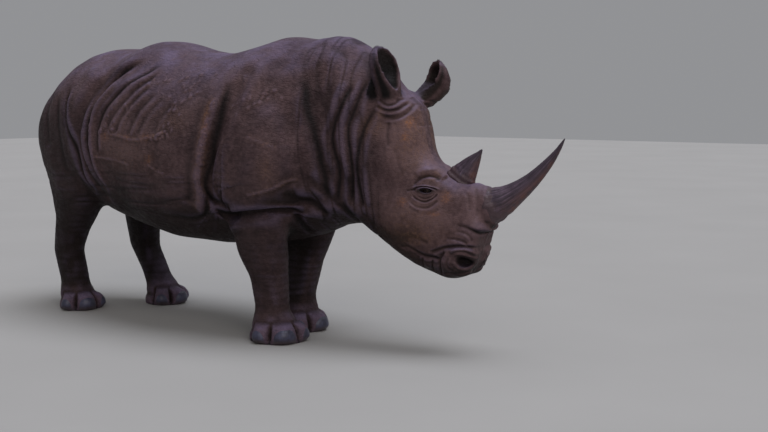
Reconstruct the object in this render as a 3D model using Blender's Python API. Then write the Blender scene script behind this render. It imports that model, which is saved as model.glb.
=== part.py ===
"""White rhinoceros, a still life-size museum model, standing with its head lowered.

Frame: metres, +Z up, the animal faces +X and its left side is +Y.  The origin ends up
at the bottom centre of the whole model, on the floor between the feet.

The flesh is modelled whole: lofts through the trunk, neck, head and legs and a few
muscle masses are joined, remeshed, given their deep skin folds and thinned out.  It is
then parted with thin cuts into the pieces a person would name.  Horns, eyes, ears,
toenails and tail are their own solids, fitted to the flesh with the same thin gap.
"""

import math

import bmesh
import bpy
import numpy as np
from mathutils import Matrix, Vector

# ---------------------------------------------------------------- driving dimensions
GAP = 0.0003                # clearance between two pieces that touch
HEAD_TURN = math.radians(10.0)   # the head is turned a little to the animal's left
TURN_START_X = 0.20         # the neck starts to turn here
TURN_END_X = 0.60           # and has turned fully here
SKIN_VOXEL = 0.018          # grid of the first, even skin
SKIN_FACES = 3200           # triangles left of the flesh after thinning
HEAD_START_X = 0.62         # ahead of this the flesh keeps more of its triangles,
HEAD_CARE = 0.25            # by this weight
LOFT_SIDES = 36             # sides of the big lofts

# Trunk, neck and head in one loft.  Each row is a section: the top of the section
# (x, z), its bottom (x, z), its half width, where it is widest (0 top, 1 bottom) and
# how square it is (2 is an ellipse).
BODY_SECTIONS = (
    (-2.100, 1.260, -2.110, 1.020, 0.140, 0.50, 2.0),   # buttocks
    (-2.045, 1.390, -2.080, 0.880, 0.290, 0.50, 2.1),
    (-1.910, 1.525, -1.960, 0.790, 0.400, 0.48, 2.2),
    (-1.680, 1.668, -1.700, 0.710, 0.462, 0.46, 2.2),   # hips
    (-1.500, 1.712, -1.500, 0.660, 0.490, 0.48, 2.2),
    (-1.250, 1.708, -1.250, 0.600, 0.520, 0.52, 2.2),
    (-1.020, 1.754, -1.060, 0.555, 0.540, 0.53, 2.2),   # peak over the loins
    (-0.760, 1.695, -0.800, 0.520, 0.560, 0.55, 2.2),
    (-0.480, 1.662, -0.500, 0.515, 0.555, 0.55, 2.2),   # dip behind the shoulders
    (-0.240, 1.695, -0.250, 0.530, 0.510, 0.52, 2.2),
    (-0.020, 1.748, 0.000, 0.565, 0.450, 0.50, 2.2),    # shoulder hump
    (0.160, 1.728, 0.200, 0.610, 0.385, 0.48, 2.1),
    (0.345, 1.744, 0.350, 0.670, 0.315, 0.48, 2.1),     # hump of the neck
    (0.500, 1.690, 0.450, 0.710, 0.270, 0.50, 2.1),
    (0.630, 1.570, 0.510, 0.680, 0.240, 0.50, 2.1),
    (0.725, 1.450, 0.570, 0.635, 0.222, 0.50, 2.2),     # poll and jaw angle
    (0.835, 1.372, 0.635, 0.592, 0.208, 0.50, 2.2),
    (0.868, 1.260, 0.690, 0.557, 0.198, 0.48, 2.3),     # forehead
    (0.888, 1.150, 0.735, 0.528, 0.188, 0.45, 2.3),
    (0.930, 1.065, 0.780, 0.502, 0.176, 0.42, 2.3),     # eyes
    (0.990, 1.005, 0.830, 0.475, 0.160, 0.42, 2.4),
    (1.060, 0.960, 0.885, 0.456, 0.148, 0.45, 2.5),
    (1.130, 0.928, 0.950, 0.436, 0.142, 0.50, 2.6),
    (1.196, 0.900, 1.025, 0.416, 0.142, 0.55, 2.7),     # boss of the front horn
    (1.238, 0.820, 1.100, 0.432, 0.138, 0.60, 2.8),
    (1.240, 0.715, 1.150, 0.462, 0.126, 0.60, 2.8),     # lips
    (1.222, 0.640, 1.182, 0.512, 0.090, 0.55, 2.6),
)

# Legs, one row per level: height, centre (x, distance from the middle plane), half
# length along the body, half width across it.
FRONT_LEG = (
    (1.100, -0.020, 0.270, 0.240, 0.140),
    (0.900, -0.030, 0.290, 0.225, 0.150),
    (0.740, -0.045, 0.285, 0.205, 0.142),
    (0.620, -0.060, 0.268, 0.192, 0.130),
    (0.500, -0.060, 0.250, 0.166, 0.118),
    (0.390, -0.040, 0.236, 0.126, 0.106),               # wrist
    (0.290, -0.026, 0.226, 0.105, 0.100),
    (0.190, -0.024, 0.220, 0.101, 0.098),
    (0.120, -0.010, 0.216, 0.124, 0.120),
    (0.060, 0.004, 0.212, 0.158, 0.148),
    (-0.020, 0.010, 0.210, 0.170, 0.160),
)
HIND_LEG = (
    (1.300, -1.690, 0.230, 0.300, 0.180),
    (1.060, -1.660, 0.285, 0.300, 0.170),
    (0.880, -1.640, 0.290, 0.262, 0.158),
    (0.740, -1.650, 0.280, 0.205, 0.138),
    (0.620, -1.690, 0.265, 0.152, 0.115),
    (0.500, -1.745, 0.252, 0.122, 0.098),
    (0.390, -1.770, 0.243, 0.112, 0.088),               # hock
    (0.290, -1.750, 0.236, 0.100, 0.085),
    (0.190, -1.715, 0.230, 0.095, 0.090),
    (0.120, -1.690, 0.226, 0.108, 0.108),
    (0.060, -1.668, 0.222, 0.132, 0.130),
    (-0.020, -1.660, 0.220, 0.142, 0.138),
)
LEG_SIDES = 24

# Muscles, bones and bosses that stand out of the lofts: centre, radii and backward lean
# in degrees.  Those off the middle plane are made on both sides.
MASSES = (
    ("shoulder", (0.020, 0.320, 1.080), (0.270, 0.165, 0.340), 8),
    ("haunch", (-1.680, 0.290, 1.080), (0.330, 0.170, 0.360), -6),
    ("hip_bone", (-1.330, 0.340, 1.470), (0.170, 0.110, 0.120), 20),
    ("brow", (0.925, 0.108, 0.965), (0.085, 0.044, 0.055), 62),
    ("cheek", (0.760, 0.145, 0.800), (0.190, 0.062, 0.150), 45),
    ("ear_base", (0.700, 0.122, 1.345), (0.094, 0.080, 0.092), 10),
    ("nose_boss", (1.140, 0.000, 0.825), (0.112, 0.118, 0.128), 20),
    ("lip", (1.095, 0.074, 0.530), (0.100, 0.076, 0.086), 35),
    ("throat_flap", (0.415, 0.000, 0.725), (0.075, 0.030, 0.055), -20),
)

# How far each foot stands from its plain place, forwards and outwards, and the height
# above which the leg keeps its place.
FEET = {
    "front_leg_right": (0.005, 0.000, 0.95),
    "front_leg_left": (-0.130, -0.080, 1.00),
    "hind_leg_right": (-0.100, 0.010, 0.95),
    "hind_leg_left": (0.190, 0.040, 0.62),
}
SWING_END = 0.10            # at this height the leg has reached its foot's place

# The deepest skin folds of both sides, drawn on the side view as (x, z) points: a groove
# of some depth and half width, with the skin rolling up beside it by a share of the depth.
FOLDS = (
    # depth, half width, lip share, path
    (0.036, 0.042, 0.45, ((-0.06, 1.51), (-0.12, 1.33), (-0.18, 1.15), (-0.22, 1.03),
                          (-0.235, 0.92), (-0.22, 0.82), (-0.17, 0.755))),    # shoulder
    (0.028, 0.032, 0.50, ((-0.20, 0.735), (-0.04, 0.750), (0.14, 0.780),
                          (0.32, 0.825))),                                    # apron
    (0.026, 0.042, 0.50, ((-0.92, 1.59), (-1.14, 1.51), (-1.32, 1.36), (-1.385, 1.23),
                          (-1.38, 1.08), (-1.33, 0.94), (-1.25, 0.80))),      # flank
    (0.020, 0.046, 0.50, ((0.36, 1.52), (0.40, 1.32), (0.45, 1.16), (0.48, 1.00),
                          (0.50, 0.86))),                                     # neck
)

# Horns: centre (x, z), half length in the middle plane and half width across.
FRONT_HORN = (
    (1.195, 0.811, 0.104, 0.082),
    (1.240, 0.822, 0.110, 0.088),                       # root, inside the boss
    (1.290, 0.834, 0.094, 0.080),
    (1.380, 0.888, 0.064, 0.058),
    (1.482, 0.966, 0.043, 0.041),
    (1.566, 1.054, 0.028, 0.027),
    (1.620, 1.124, 0.016, 0.015),
    (1.660, 1.190, 0.004, 0.004),
)
REAR_HORN = (
    (1.054, 0.918, 0.092, 0.050),
    (1.074, 0.950, 0.092, 0.050),                       # root
    (1.104, 1.000, 0.070, 0.040),
    (1.146, 1.055, 0.043, 0.027),
    (1.178, 1.096, 0.020, 0.014),
    (1.198, 1.124, 0.004, 0.004),
)
HORN_SIDES = 12

EYE_CENTRE = (0.930, 0.142, 0.899)
EYE_RADIUS = 0.028

# Ears: the middle of the root, the tip, how far the middle of the ear bows out of the
# straight line between them, and which way the hollow faces.
EARS = {
    "ear_right": ((0.705, -0.114, 1.345), (0.674, -0.180, 1.672),
                  (0.014, -0.010, 0.000), (0.92, -0.30, 0.00)),
    "ear_left": ((0.695, 0.118, 1.330), (0.820, 0.215, 1.615),
                 (0.050, 0.060, -0.020), (-0.25, -0.45, 0.70)),
}
# Along an ear: share of its length, half width, half depth, set back of the section.
EAR_ROWS = (
    (-0.10, 0.062, 0.060, 0.000),
    (0.12, 0.063, 0.062, 0.000),
    (0.34, 0.068, 0.070, 0.000),
    (0.56, 0.080, 0.078, 0.004),
    (0.76, 0.080, 0.070, 0.010),
    (0.92, 0.056, 0.046, 0.018),
    (1.00, 0.014, 0.012, 0.024),
)
# The hollow of an ear, the same way; it is set forwards instead, so that it opens.
HOLLOW_ROWS = (
    (0.26, 0.006, 0.008, -0.050),
    (0.40, 0.036, 0.034, -0.058),
    (0.56, 0.058, 0.054, -0.046),
    (0.76, 0.062, 0.050, -0.034),
    (0.92, 0.040, 0.034, -0.022),
    (1.04, 0.008, 0.012, -0.012),
)
EAR_SIDES = 14

# Tail: centre (x, z) and half width, from its root down; then the brush of hair.
TAIL = ((-1.980, 1.400, 0.060), (-2.075, 1.345, 0.056), (-2.138, 1.240, 0.042),
        (-2.160, 1.110, 0.032), (-2.158, 0.970, 0.025), (-2.150, 0.860, 0.020))
TAIL_BRUSH = ((-2.150, 0.8597, 0.020), (-2.150, 0.800, 0.040), (-2.150, 0.720, 0.044),
              (-2.152, 0.640, 0.030), (-2.155, 0.590, 0.008))

TAIL_SIDES = 10

# Toenails: where the three stand round a foot, in degrees, how far each foot is
# turned out, and their shape.
NAIL_TURNS = (-60.0, 0.0, 60.0)
FOOT_TURNS = {
    "front_leg_right": -32.0,
    "front_leg_left": 9.0,
    "hind_leg_right": -18.0,
    "hind_leg_left": 9.0,
}
SIDE_NAIL = (0.024, 0.048, 0.042)
MIDDLE_NAIL = (0.026, 0.062, 0.046)
NAIL_HEIGHT = 0.050
NAIL_LEAN = math.radians(-14.0)
NAIL_DEPTH = 0.93           # share of the foot's radius at which a nail is centred

# Cuts between the flesh pieces, as outlines on the side view.
HEAD_CUT = ((0.600, 1.90), (0.490, 0.50), (0.60, 0.20), (2.00, 0.20), (2.00, 1.90))
JAW_CUT = ((0.915, 0.535), (0.660, 0.715), (0.30, 0.60), (0.60, 0.20), (0.925, 0.20))
NECK_CUT = ((0.110, 2.00), (0.220, 0.90), (0.220, 0.20), (1.20, 0.20), (1.20, 2.00))
CHEST_CUT = ((-0.330, 2.00), (-0.330, 0.20), (0.90, 0.20), (0.90, 2.00))
RUMP_CUT = ((-1.300, 2.00), (-1.380, 0.20), (-2.70, 0.20), (-2.70, 2.00))
FRONT_CUT = ((-0.420, -0.3), (0.340, -0.3), (0.240, 0.58), (0.190, 0.735),
             (-0.220, 0.735), (-0.300, 0.56))
HIND_CUT = ((-2.300, -0.3), (-1.150, -0.3), (-1.230, 0.45), (-1.400, 0.80),
            (-2.300, 0.80))
# The inner side of each leg's cut: its distance left of the middle at the floor, and
# how much further out it is for each metre up.
LEG_INNER = {
    "front_leg_right": (-0.046, -0.10),
    "front_leg_left": (-0.044, 0.24),
    "hind_leg_right": (-0.030, -0.08),
    "hind_leg_left": (0.030, 0.08),
}

WRIST_HEIGHT = 0.37
HOCK_HEIGHT = 0.43
ANKLE_HEIGHT = 0.15

# Colour and roughness of each kind of piece.
FINISHES = {
    "skin": ((0.115, 0.095, 0.095), 0.80),
    "horn": ((0.090, 0.068, 0.070), 0.55),
    "eye": ((0.012, 0.008, 0.007), 0.12),
    "nail": ((0.100, 0.090, 0.095), 0.60),
}


# ---------------------------------------------------------------- helpers
def clear_scene():
    """Removes every object of the scene."""
    for old in list(bpy.data.objects):
        bpy.data.objects.remove(old, do_unlink=True)


def smooth_rows(rows, steps):
    """Runs a smooth curve through rows of numbers, with `steps` rows between two."""
    rows = np.array(rows, dtype=float)
    padded = np.vstack([2 * rows[0] - rows[1], rows, 2 * rows[-1] - rows[-2]])
    out = []
    for i in range(1, len(padded) - 2):
        a, b, c, d = padded[i - 1 : i + 3]
        for t in np.arange(steps) / steps:
            out.append(
                0.5 * (2 * b + (c - a) * t + (2 * a - 5 * b + 4 * c - d) * t**2
                       + (3 * b - a - 3 * c + d) * t**3)
            )
    out.append(rows[-1])
    return out


def ring(count):
    """Angles of `count` points round a section, the first at its top."""
    return [2 * math.pi * i / count for i in range(count)]


def power(value, exponent):
    """Raises the size of a number to a power and keeps its sign."""
    return math.copysign(abs(value) ** exponent, value)


def loft(name, rings):
    """A closed tube through rings of points, made by extruding its cap ring by ring."""
    bm = bmesh.new()
    start = bm.faces.new([bm.verts.new(p) for p in rings[0]])
    bmesh.ops.duplicate(bm, geom=[start])
    bm.faces.ensure_lookup_table()
    cap = bm.faces[-1]
    bmesh.ops.reverse_faces(bm, faces=[bm.faces[0]])
    for points in rings[1:]:
        cap = bmesh.ops.extrude_discrete_faces(bm, faces=[cap])["faces"][0]
        for vert, point in zip(cap.verts, points):
            vert.co = point
    bmesh.ops.remove_doubles(bm, verts=bm.verts, dist=1e-5)
    bmesh.ops.triangulate(bm, faces=[f for f in bm.faces if len(f.verts) > 4])
    bmesh.ops.recalc_face_normals(bm, faces=bm.faces)
    mesh = bpy.data.meshes.new(name)
    bm.to_mesh(mesh)
    bm.free()
    return link(name, mesh)


def link(name, mesh):
    """Puts a mesh in the scene as a named object."""
    obj = bpy.data.objects.new(name, mesh)
    bpy.context.collection.objects.link(obj)
    return obj


def apply_modifiers(obj):
    """Turns an object's modifiers into its mesh."""
    graph = bpy.context.evaluated_depsgraph_get()
    mesh = bpy.data.meshes.new_from_object(obj.evaluated_get(graph))
    obj.modifiers.clear()
    obj.data = mesh
    return obj


def ball(name, centre, radii, turn=(0.0, 0.0, 0.0), rings=12, around=24):
    """An ellipsoid with its place in its mesh."""
    bm = bmesh.new()
    bmesh.ops.create_uvsphere(bm, u_segments=around, v_segments=rings, radius=1.0)
    shape = Matrix.LocRotScale(Vector(centre), Matrix.Rotation(turn[2], 3, "Z")
                               @ Matrix.Rotation(turn[1], 3, "Y")
                               @ Matrix.Rotation(turn[0], 3, "X"), Vector(radii))
    bmesh.ops.transform(bm, matrix=shape, verts=bm.verts)
    mesh = bpy.data.meshes.new(name)
    bm.to_mesh(mesh)
    bm.free()
    return link(name, mesh)


def join(name, parts):
    """Joins several objects into one."""
    bm = bmesh.new()
    for part in parts:
        bm.from_mesh(part.data)
        bpy.data.objects.remove(part, do_unlink=True)
    mesh = bpy.data.meshes.new(name)
    bm.to_mesh(mesh)
    bm.free()
    return link(name, mesh)


def points_of(obj):
    """The vertices of an object's mesh as an array of rows."""
    flat = np.empty(len(obj.data.vertices) * 3)
    obj.data.vertices.foreach_get("co", flat)
    return flat.reshape(-1, 3)


def normals_of(obj):
    """The vertex normals of an object's mesh as an array of rows."""
    flat = np.empty(len(obj.data.vertices) * 3)
    obj.data.vertex_normals.foreach_get("vector", flat)
    return flat.reshape(-1, 3)


def set_points(obj, points):
    """Writes moved vertices back."""
    obj.data.vertices.foreach_set("co", np.ascontiguousarray(points).ravel())
    obj.data.update()


def turn_head(points):
    """Bends the straight animal: the neck and head swing to its left."""
    points = np.array(points, dtype=float)
    share = np.clip((points[:, 0] - TURN_START_X) / (TURN_END_X - TURN_START_X), 0, 1)
    span = TURN_END_X - TURN_START_X
    angle = HEAD_TURN * share
    # the middle line is an arc, then a straight run along the turned heading
    radius = span / HEAD_TURN
    past = np.maximum(points[:, 0] - TURN_END_X, 0)
    before = np.minimum(points[:, 0], TURN_START_X)
    x = before + radius * np.sin(angle) + past * np.cos(angle)
    y = radius * (1 - np.cos(angle)) + past * np.sin(angle)
    out = points.copy()
    out[:, 0] = x - points[:, 1] * np.sin(angle)
    out[:, 1] = y + points[:, 1] * np.cos(angle)
    return out


def turn_rigidly(points, at_x):
    """Swings points as one block, the way the middle line swings at one place."""
    share = min(max((at_x - TURN_START_X) / (TURN_END_X - TURN_START_X), 0), 1)
    angle = HEAD_TURN * share
    place = turn_head([(at_x, 0.0, 0.0)])[0]
    ahead = points[:, 0] - at_x
    out = points.copy()
    out[:, 0] = place[0] + ahead * np.cos(angle) - points[:, 1] * np.sin(angle)
    out[:, 1] = place[1] + ahead * np.sin(angle) + points[:, 1] * np.cos(angle)
    return out


# ---------------------------------------------------------------- flesh
def body_loft():
    """The trunk, neck and head as one tube."""
    rings = []
    for tx, tz, bx, bz, half, widest, square in smooth_rows(BODY_SECTIONS, 3):
        top = Vector((tx, 0.0, tz))
        down = Vector((bx, 0.0, bz)) - top
        points = []
        for angle in ring(LOFT_SIDES):
            across = half * power(math.sin(angle), 2 / square)
            lift = power(math.cos(angle), 2 / square)
            place = widest * (1 - lift) if lift > 0 else widest - lift * (1 - widest)
            points.append(top + down * place + Vector((0.0, across, 0.0)))
        rings.append(points)
    return loft("body", rings)


def leg_loft(name, rows, side):
    """One leg, from inside the trunk down to the sole, led to where its foot stands."""
    forward, outward, swing_start = FEET[name]
    rings = []
    for z, x, y, long, wide in smooth_rows(rows, 3):
        share = min(1.0, max(0.0, (swing_start - z) / (swing_start - SWING_END))) ** 0.85
        centre = Vector((x + forward * share, side * (y + outward * share), z))
        points = [
            centre + Vector((long * power(math.cos(a), 0.92),
                             wide * power(math.sin(a), 0.92), 0.0))
            for a in ring(LEG_SIDES)
        ]
        rings.append(points)
    return loft(name, rings)


def flesh_masses():
    """Muscles and bosses that stand out of the lofts."""
    parts = []
    for label, (x, y, z), radii, lean in MASSES:
        for side in (-1, 1) if y else (1,):
            parts.append(ball(label, (x, side * y, z), radii, (0, math.radians(lean), 0)))
    return parts


def along_path(points, path):
    """How far each (x, z) point lies from a smooth path drawn on the side view."""
    line = np.array(smooth_rows(path, 6))
    best = np.full(len(points), 9.0)
    for start, end in zip(line[:-1], line[1:]):
        run = end - start
        share = np.clip((points - start) @ run / (run @ run), 0, 1)
        best = np.minimum(best, np.linalg.norm(points - start - share[:, None] * run, axis=1))
    return best


def fold_skin(flesh):
    """Presses the grooves of FOLDS into both sides and rolls the skin up beside them."""
    points = points_of(flesh)
    normals = normals_of(flesh)
    sideways = np.clip(np.abs(normals[:, 1]) * 1.6 - 0.3, 0, 1)
    move = np.zeros(len(points))
    for depth, width, lip, path in FOLDS:
        far = along_path(points[:, (0, 2)], path)
        groove = np.exp(-((far / width) ** 2))
        roll = np.exp(-(((far - 2.1 * width) / width) ** 2))
        move += depth * (lip * roll - groove)
    set_points(flesh, points + normals * (move * sideways)[:, None])


def build_flesh():
    """Joins the lofts and masses, gives them one even skin, its folds and the turn."""
    parts = [body_loft()] + flesh_masses()
    for name in FEET:
        side = -1 if name.endswith("right") else 1
        parts.append(leg_loft(name, FRONT_LEG if "front" in name else HIND_LEG, side))
    flesh = join("flesh", parts)
    remesh = flesh.modifiers.new("skin", "REMESH")
    remesh.mode = "VOXEL"
    remesh.voxel_size = SKIN_VOXEL
    smooth = flesh.modifiers.new("soften", "SMOOTH")
    smooth.factor = 0.5
    smooth.iterations = 6
    apply_modifiers(flesh)
    fold_skin(flesh)
    set_points(flesh, turn_head(points_of(flesh)))
    return flesh


def thin_out(flesh):
    """Reduces the flesh to about SKIN_FACES triangles, and the head less than the rest."""
    flesh.data.calc_loop_triangles()
    behind = points_of(flesh)[:, 0] < HEAD_START_X
    coarser = flesh.vertex_groups.new(name="coarser")
    coarser.add(np.nonzero(behind)[0].tolist(), 1.0, "REPLACE")
    coarser.add(np.nonzero(~behind)[0].tolist(), 0.5, "REPLACE")
    thin = flesh.modifiers.new("thin", "DECIMATE")
    thin.ratio = SKIN_FACES / len(flesh.data.loop_triangles)
    thin.vertex_group = coarser.name
    thin.vertex_group_factor = HEAD_CARE
    return apply_modifiers(flesh)


# ---------------------------------------------------------------- horns, eyes, ears
def horn(name, rows):
    """A horn swept along its curve, its sections square to the curve."""
    rows = smooth_rows(rows, 2)
    rings = []
    for i, (x, z, long, wide) in enumerate(rows):
        before = rows[max(i - 1, 0)]
        after = rows[min(i + 1, len(rows) - 1)]
        run = Vector((after[0] - before[0], 0.0, after[1] - before[1])).normalized()
        up = Vector((-run.z, 0.0, run.x))
        rings.append([Vector((x, 0.0, z)) + up * long * math.cos(a)
                      + Vector((0.0, wide * math.sin(a), 0.0)) for a in ring(HORN_SIDES)])
    return loft(name, rings)


def ear_shell(name, place, rows):
    """The outside of an ear, or the hollow inside it, as a leaf-shaped tube."""
    root, tip, bow, faces = (Vector(v) for v in place)
    axis = tip - root
    long = axis.normalized()
    front = (faces - long * faces.dot(long)).normalized()
    across = long.cross(front)
    rings = []
    for share, wide, deep, back in rows:
        centre = root + axis * share - front * back
        centre += bow * math.sin(math.pi * min(max(share, 0.0), 1.0))
        rings.append([centre + front * deep * math.cos(a) + across * wide * math.sin(a)
                      for a in ring(EAR_SIDES)])
    return loft(name, rings)


def ear(name):
    """A cupped ear: a leaf-shaped cone with a hollow cut into its open side."""
    outer = ear_shell(name, EARS[name], EAR_ROWS)
    return cut(outer, ear_shell("hollow", EARS[name], HOLLOW_ROWS), "DIFFERENCE")


def tail():
    """The tail and its brush of hair, hanging straight down behind."""
    made = []
    for name, rows in (("tail", TAIL), ("tail_brush", TAIL_BRUSH)):
        rings = []
        for x, z, half in smooth_rows(rows, 2):
            lean = Vector((half, 0.0, 0.0))
            rings.append([Vector((x, 0.0, z)) + lean * math.cos(a)
                          + Vector((0.0, half * 0.8 * math.sin(a), 0.0))
                          for a in ring(TAIL_SIDES)])
        made.append(loft(name, rings))
    return made


def toenails(leg):
    """Three toenails, set into the front of a foot."""
    forward, outward, _ = FEET[leg]
    side = -1 if leg.endswith("right") else 1
    sole = (FRONT_LEG if "front" in leg else HIND_LEG)[-2]
    made = []
    for number, turn in enumerate(NAIL_TURNS):
        angle = math.radians(FOOT_TURNS[leg] + turn)
        out = Vector((math.cos(angle), math.sin(angle), 0.0))
        reach = Vector((sole[3] * out.x, sole[4] * out.y, 0.0))
        centre = Vector((sole[1] + forward, side * (sole[2] + outward), NAIL_HEIGHT))
        nail = ball("%s_nail_%d" % (leg, number + 1), centre + reach * NAIL_DEPTH,
                    SIDE_NAIL if turn else MIDDLE_NAIL, (0.0, NAIL_LEAN, angle),
                    rings=4, around=8)
        made.append(nail)
    return made


# ---------------------------------------------------------------- parting
def cut(obj, tool, operation):
    """Applies an exact Boolean with another object, which is then removed."""
    step = obj.modifiers.new("cut", "BOOLEAN")
    step.operation = operation
    step.solver = "EXACT"
    step.object = tool
    apply_modifiers(obj)
    bpy.data.objects.remove(tool, do_unlink=True)
    return obj


def copy_of(obj, name, grow=0.0):
    """A copy with its own mesh, grown a little along its normals."""
    twin = link(name, obj.data.copy())
    if grow:
        set_points(twin, points_of(twin) + normals_of(twin) * grow)
    return twin


def block(name, corners, low, high, at_x, grow=0.0):
    """A prism: an outline on the side view, (x, z) points in order, drawn out sideways.

    The two sides are given as (y at the floor, change of y for each metre up), and the
    whole prism swings with the middle line's place at `at_x`.
    """
    centre = sum((Vector(c) for c in corners), Vector((0.0, 0.0))) / len(corners)
    outline = []
    for corner in corners:
        out = Vector(corner) - centre
        outline.append(centre + out * (1.0 + grow / out.length))
    bm = bmesh.new()
    sides = []
    for (start, slope), away in ((low, -grow), (high, grow)):
        sides.append([bm.verts.new((x, start + slope * z + away, z)) for x, z in outline])
        bm.faces.new(sides[-1])
    bmesh.ops.bridge_loops(bm, edges=[e for e in bm.edges if e.is_boundary])
    bmesh.ops.recalc_face_normals(bm, faces=bm.faces)
    mesh = bpy.data.meshes.new(name)
    bm.to_mesh(mesh)
    bm.free()
    made = link(name, mesh)
    set_points(made, turn_rigidly(points_of(made), at_x))
    return made


def part_off(rest, name, corners, low=(-1.0, 0.0), high=(1.0, 0.0), at_x=0.0):
    """Cuts the piece inside a prism off the rest of the flesh, with a thin gap."""
    piece = copy_of(rest, name)
    cut(piece, block("inside", corners, low, high, at_x), "INTERSECT")
    cut(rest, block("outside", corners, low, high, at_x, grow=2 * GAP), "DIFFERENCE")
    return piece


def part_leg(rest, name):
    """Cuts a leg off the trunk, then parts it at the wrist or hock and the ankle."""
    front = "front" in name
    inner = LEG_INNER[name]
    right = name.endswith("right")
    leg = part_off(rest, name, FRONT_CUT if front else HIND_CUT,
                   (-1.0, 0.0) if right else inner, inner if right else (1.0, 0.0))
    joint = WRIST_HEIGHT if front else HOCK_HEIGHT
    for part, top in (("foot", ANKLE_HEIGHT), ("lower", joint)):
        part_off(leg, "%s_%s" % (name, part), ((-3, -1), (3, -1), (3, top), (-3, top)))
    leg.name = name + "_upper"


def part_flesh(flesh):
    """Parts the whole flesh into its named pieces."""
    for name in FEET:
        part_leg(flesh, name)
    head = part_off(flesh, "head", HEAD_CUT, at_x=0.55)
    part_off(head, "lower_jaw", JAW_CUT, at_x=0.80)
    part_off(flesh, "neck", NECK_CUT, at_x=TURN_START_X)
    part_off(flesh, "chest", CHEST_CUT)
    part_off(flesh, "rump", RUMP_CUT)
    flesh.name = "barrel"


def finish(obj, colour, roughness):
    """Shades a piece smooth and gives it its own material."""
    obj.data.name = obj.name
    obj.data.materials.clear()
    obj.data.shade_smooth()
    obj.data.set_sharp_from_angle(angle=math.radians(50))
    material = bpy.data.materials.new(obj.name)
    material.use_nodes = True
    shader = material.node_tree.nodes["Principled BSDF"]
    shader.inputs["Base Color"].default_value = (*colour, 1.0)
    shader.inputs["Roughness"].default_value = roughness
    shader.inputs["Metallic"].default_value = 0.0
    obj.data.materials.append(material)


def build():
    """Builds the whole animal."""
    clear_scene()
    flesh = thin_out(build_flesh())
    small = [horn("horn_front", FRONT_HORN), horn("horn_rear", REAR_HORN)]
    for side, name in ((-1, "eye_right"), (1, "eye_left")):
        x, y, z = EYE_CENTRE
        small.append(ball(name, (x, side * y, z), (EYE_RADIUS,) * 3, rings=8, around=12))
    small += tail()
    for leg in FEET:
        small += toenails(leg)
    # the ears' sockets follow the ears' outside only
    plugs = [ear_shell("plug", place, EAR_ROWS) for place in EARS.values()]
    for piece in small + plugs + [ear(name) for name in EARS]:
        set_points(piece, turn_head(points_of(piece)))
    sockets = [copy_of(piece, "socket", GAP * 1.5) for piece in small + plugs]
    cut(flesh, join("sockets", sockets), "DIFFERENCE")
    for plug in plugs:
        bpy.data.objects.remove(plug, do_unlink=True)
    below = ((-3, -1), (3, -1), (3, 0), (-3, 0))
    cut(flesh, block("floor", below, (-1, 0), (1, 0), 0.0), "DIFFERENCE")
    part_flesh(flesh)
    box = np.vstack([points_of(o) for o in bpy.context.scene.objects])
    low, high = box.min(axis=0), box.max(axis=0)
    shift = np.array([(low[0] + high[0]) / 2, (low[1] + high[1]) / 2, 0.0])
    for obj in bpy.context.scene.objects:
        set_points(obj, points_of(obj) - shift)
        kind = obj.name.split("_")[0]
        finish(obj, *FINISHES.get("nail" if "nail" in obj.name else kind, FINISHES["skin"]))


build()
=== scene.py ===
"""White rhinoceros: hide, horns, eyes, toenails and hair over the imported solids.

One skin replaces every flesh solid.  It is fused from copies of those solids, relaxed,
refined on the head, given its folds, lids, nostrils, lips and toes, and thinned to the
size that a reusable part may have.  Horns, eyes, toenails and hair are their own pieces.

Two frames are used.  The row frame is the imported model's.  The straight frame is the
same animal with its neck and head swung back in line with its body: u runs forwards
from the front feet, v to the animal's left and z up.  Folds and features are laid out in
the straight frame and alike on both sides.
"""

import logging
import math
from collections.abc import Callable
from dataclasses import dataclass
from enum import Enum

import bpy
import numpy as np
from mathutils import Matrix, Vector
from mathutils.kdtree import KDTree

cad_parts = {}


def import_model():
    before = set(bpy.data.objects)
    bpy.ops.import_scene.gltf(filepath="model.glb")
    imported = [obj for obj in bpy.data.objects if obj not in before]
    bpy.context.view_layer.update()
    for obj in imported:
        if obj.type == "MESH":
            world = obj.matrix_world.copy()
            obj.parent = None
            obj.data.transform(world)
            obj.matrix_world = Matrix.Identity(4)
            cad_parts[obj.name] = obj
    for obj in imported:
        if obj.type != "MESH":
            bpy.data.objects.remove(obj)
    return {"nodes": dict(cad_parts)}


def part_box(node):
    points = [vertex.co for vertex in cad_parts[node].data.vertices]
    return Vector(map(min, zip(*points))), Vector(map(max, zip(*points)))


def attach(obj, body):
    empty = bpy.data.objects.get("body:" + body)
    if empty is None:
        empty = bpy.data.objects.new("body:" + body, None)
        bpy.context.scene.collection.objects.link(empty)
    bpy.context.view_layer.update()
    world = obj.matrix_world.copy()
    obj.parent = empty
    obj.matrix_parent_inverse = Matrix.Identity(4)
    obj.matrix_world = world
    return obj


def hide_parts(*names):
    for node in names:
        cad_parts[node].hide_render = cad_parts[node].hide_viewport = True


log = logging.getLogger("rhinoceros")

Piece = bpy.types.Object
Mesh = bpy.types.Mesh
Material = bpy.types.Material
Tree = bpy.types.NodeTree
Node = bpy.types.Node
Array = np.ndarray
Pair = tuple[float, float]
Spot = tuple[float, float]              # u and z on the straight side view
Point = tuple[float, float, float]
Colour = tuple[float, float, float, float]

SEED = 11                               # of everything irregular
UNWRAP = "OFBake"                       # the name of the map that the skin and the hair are unwrapped into
LEGS = ("front_leg_right", "front_leg_left", "hind_leg_right", "hind_leg_left")
HEAD_FROM, HEAD_ALL = 0.62, 0.76        # the u over which trunk turns into head
EAR_MARGIN = 0.01                       # round an ear's CAD box


class Side(Enum):
    """The two sides of the animal."""

    RIGHT = -1
    LEFT = 1


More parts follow.
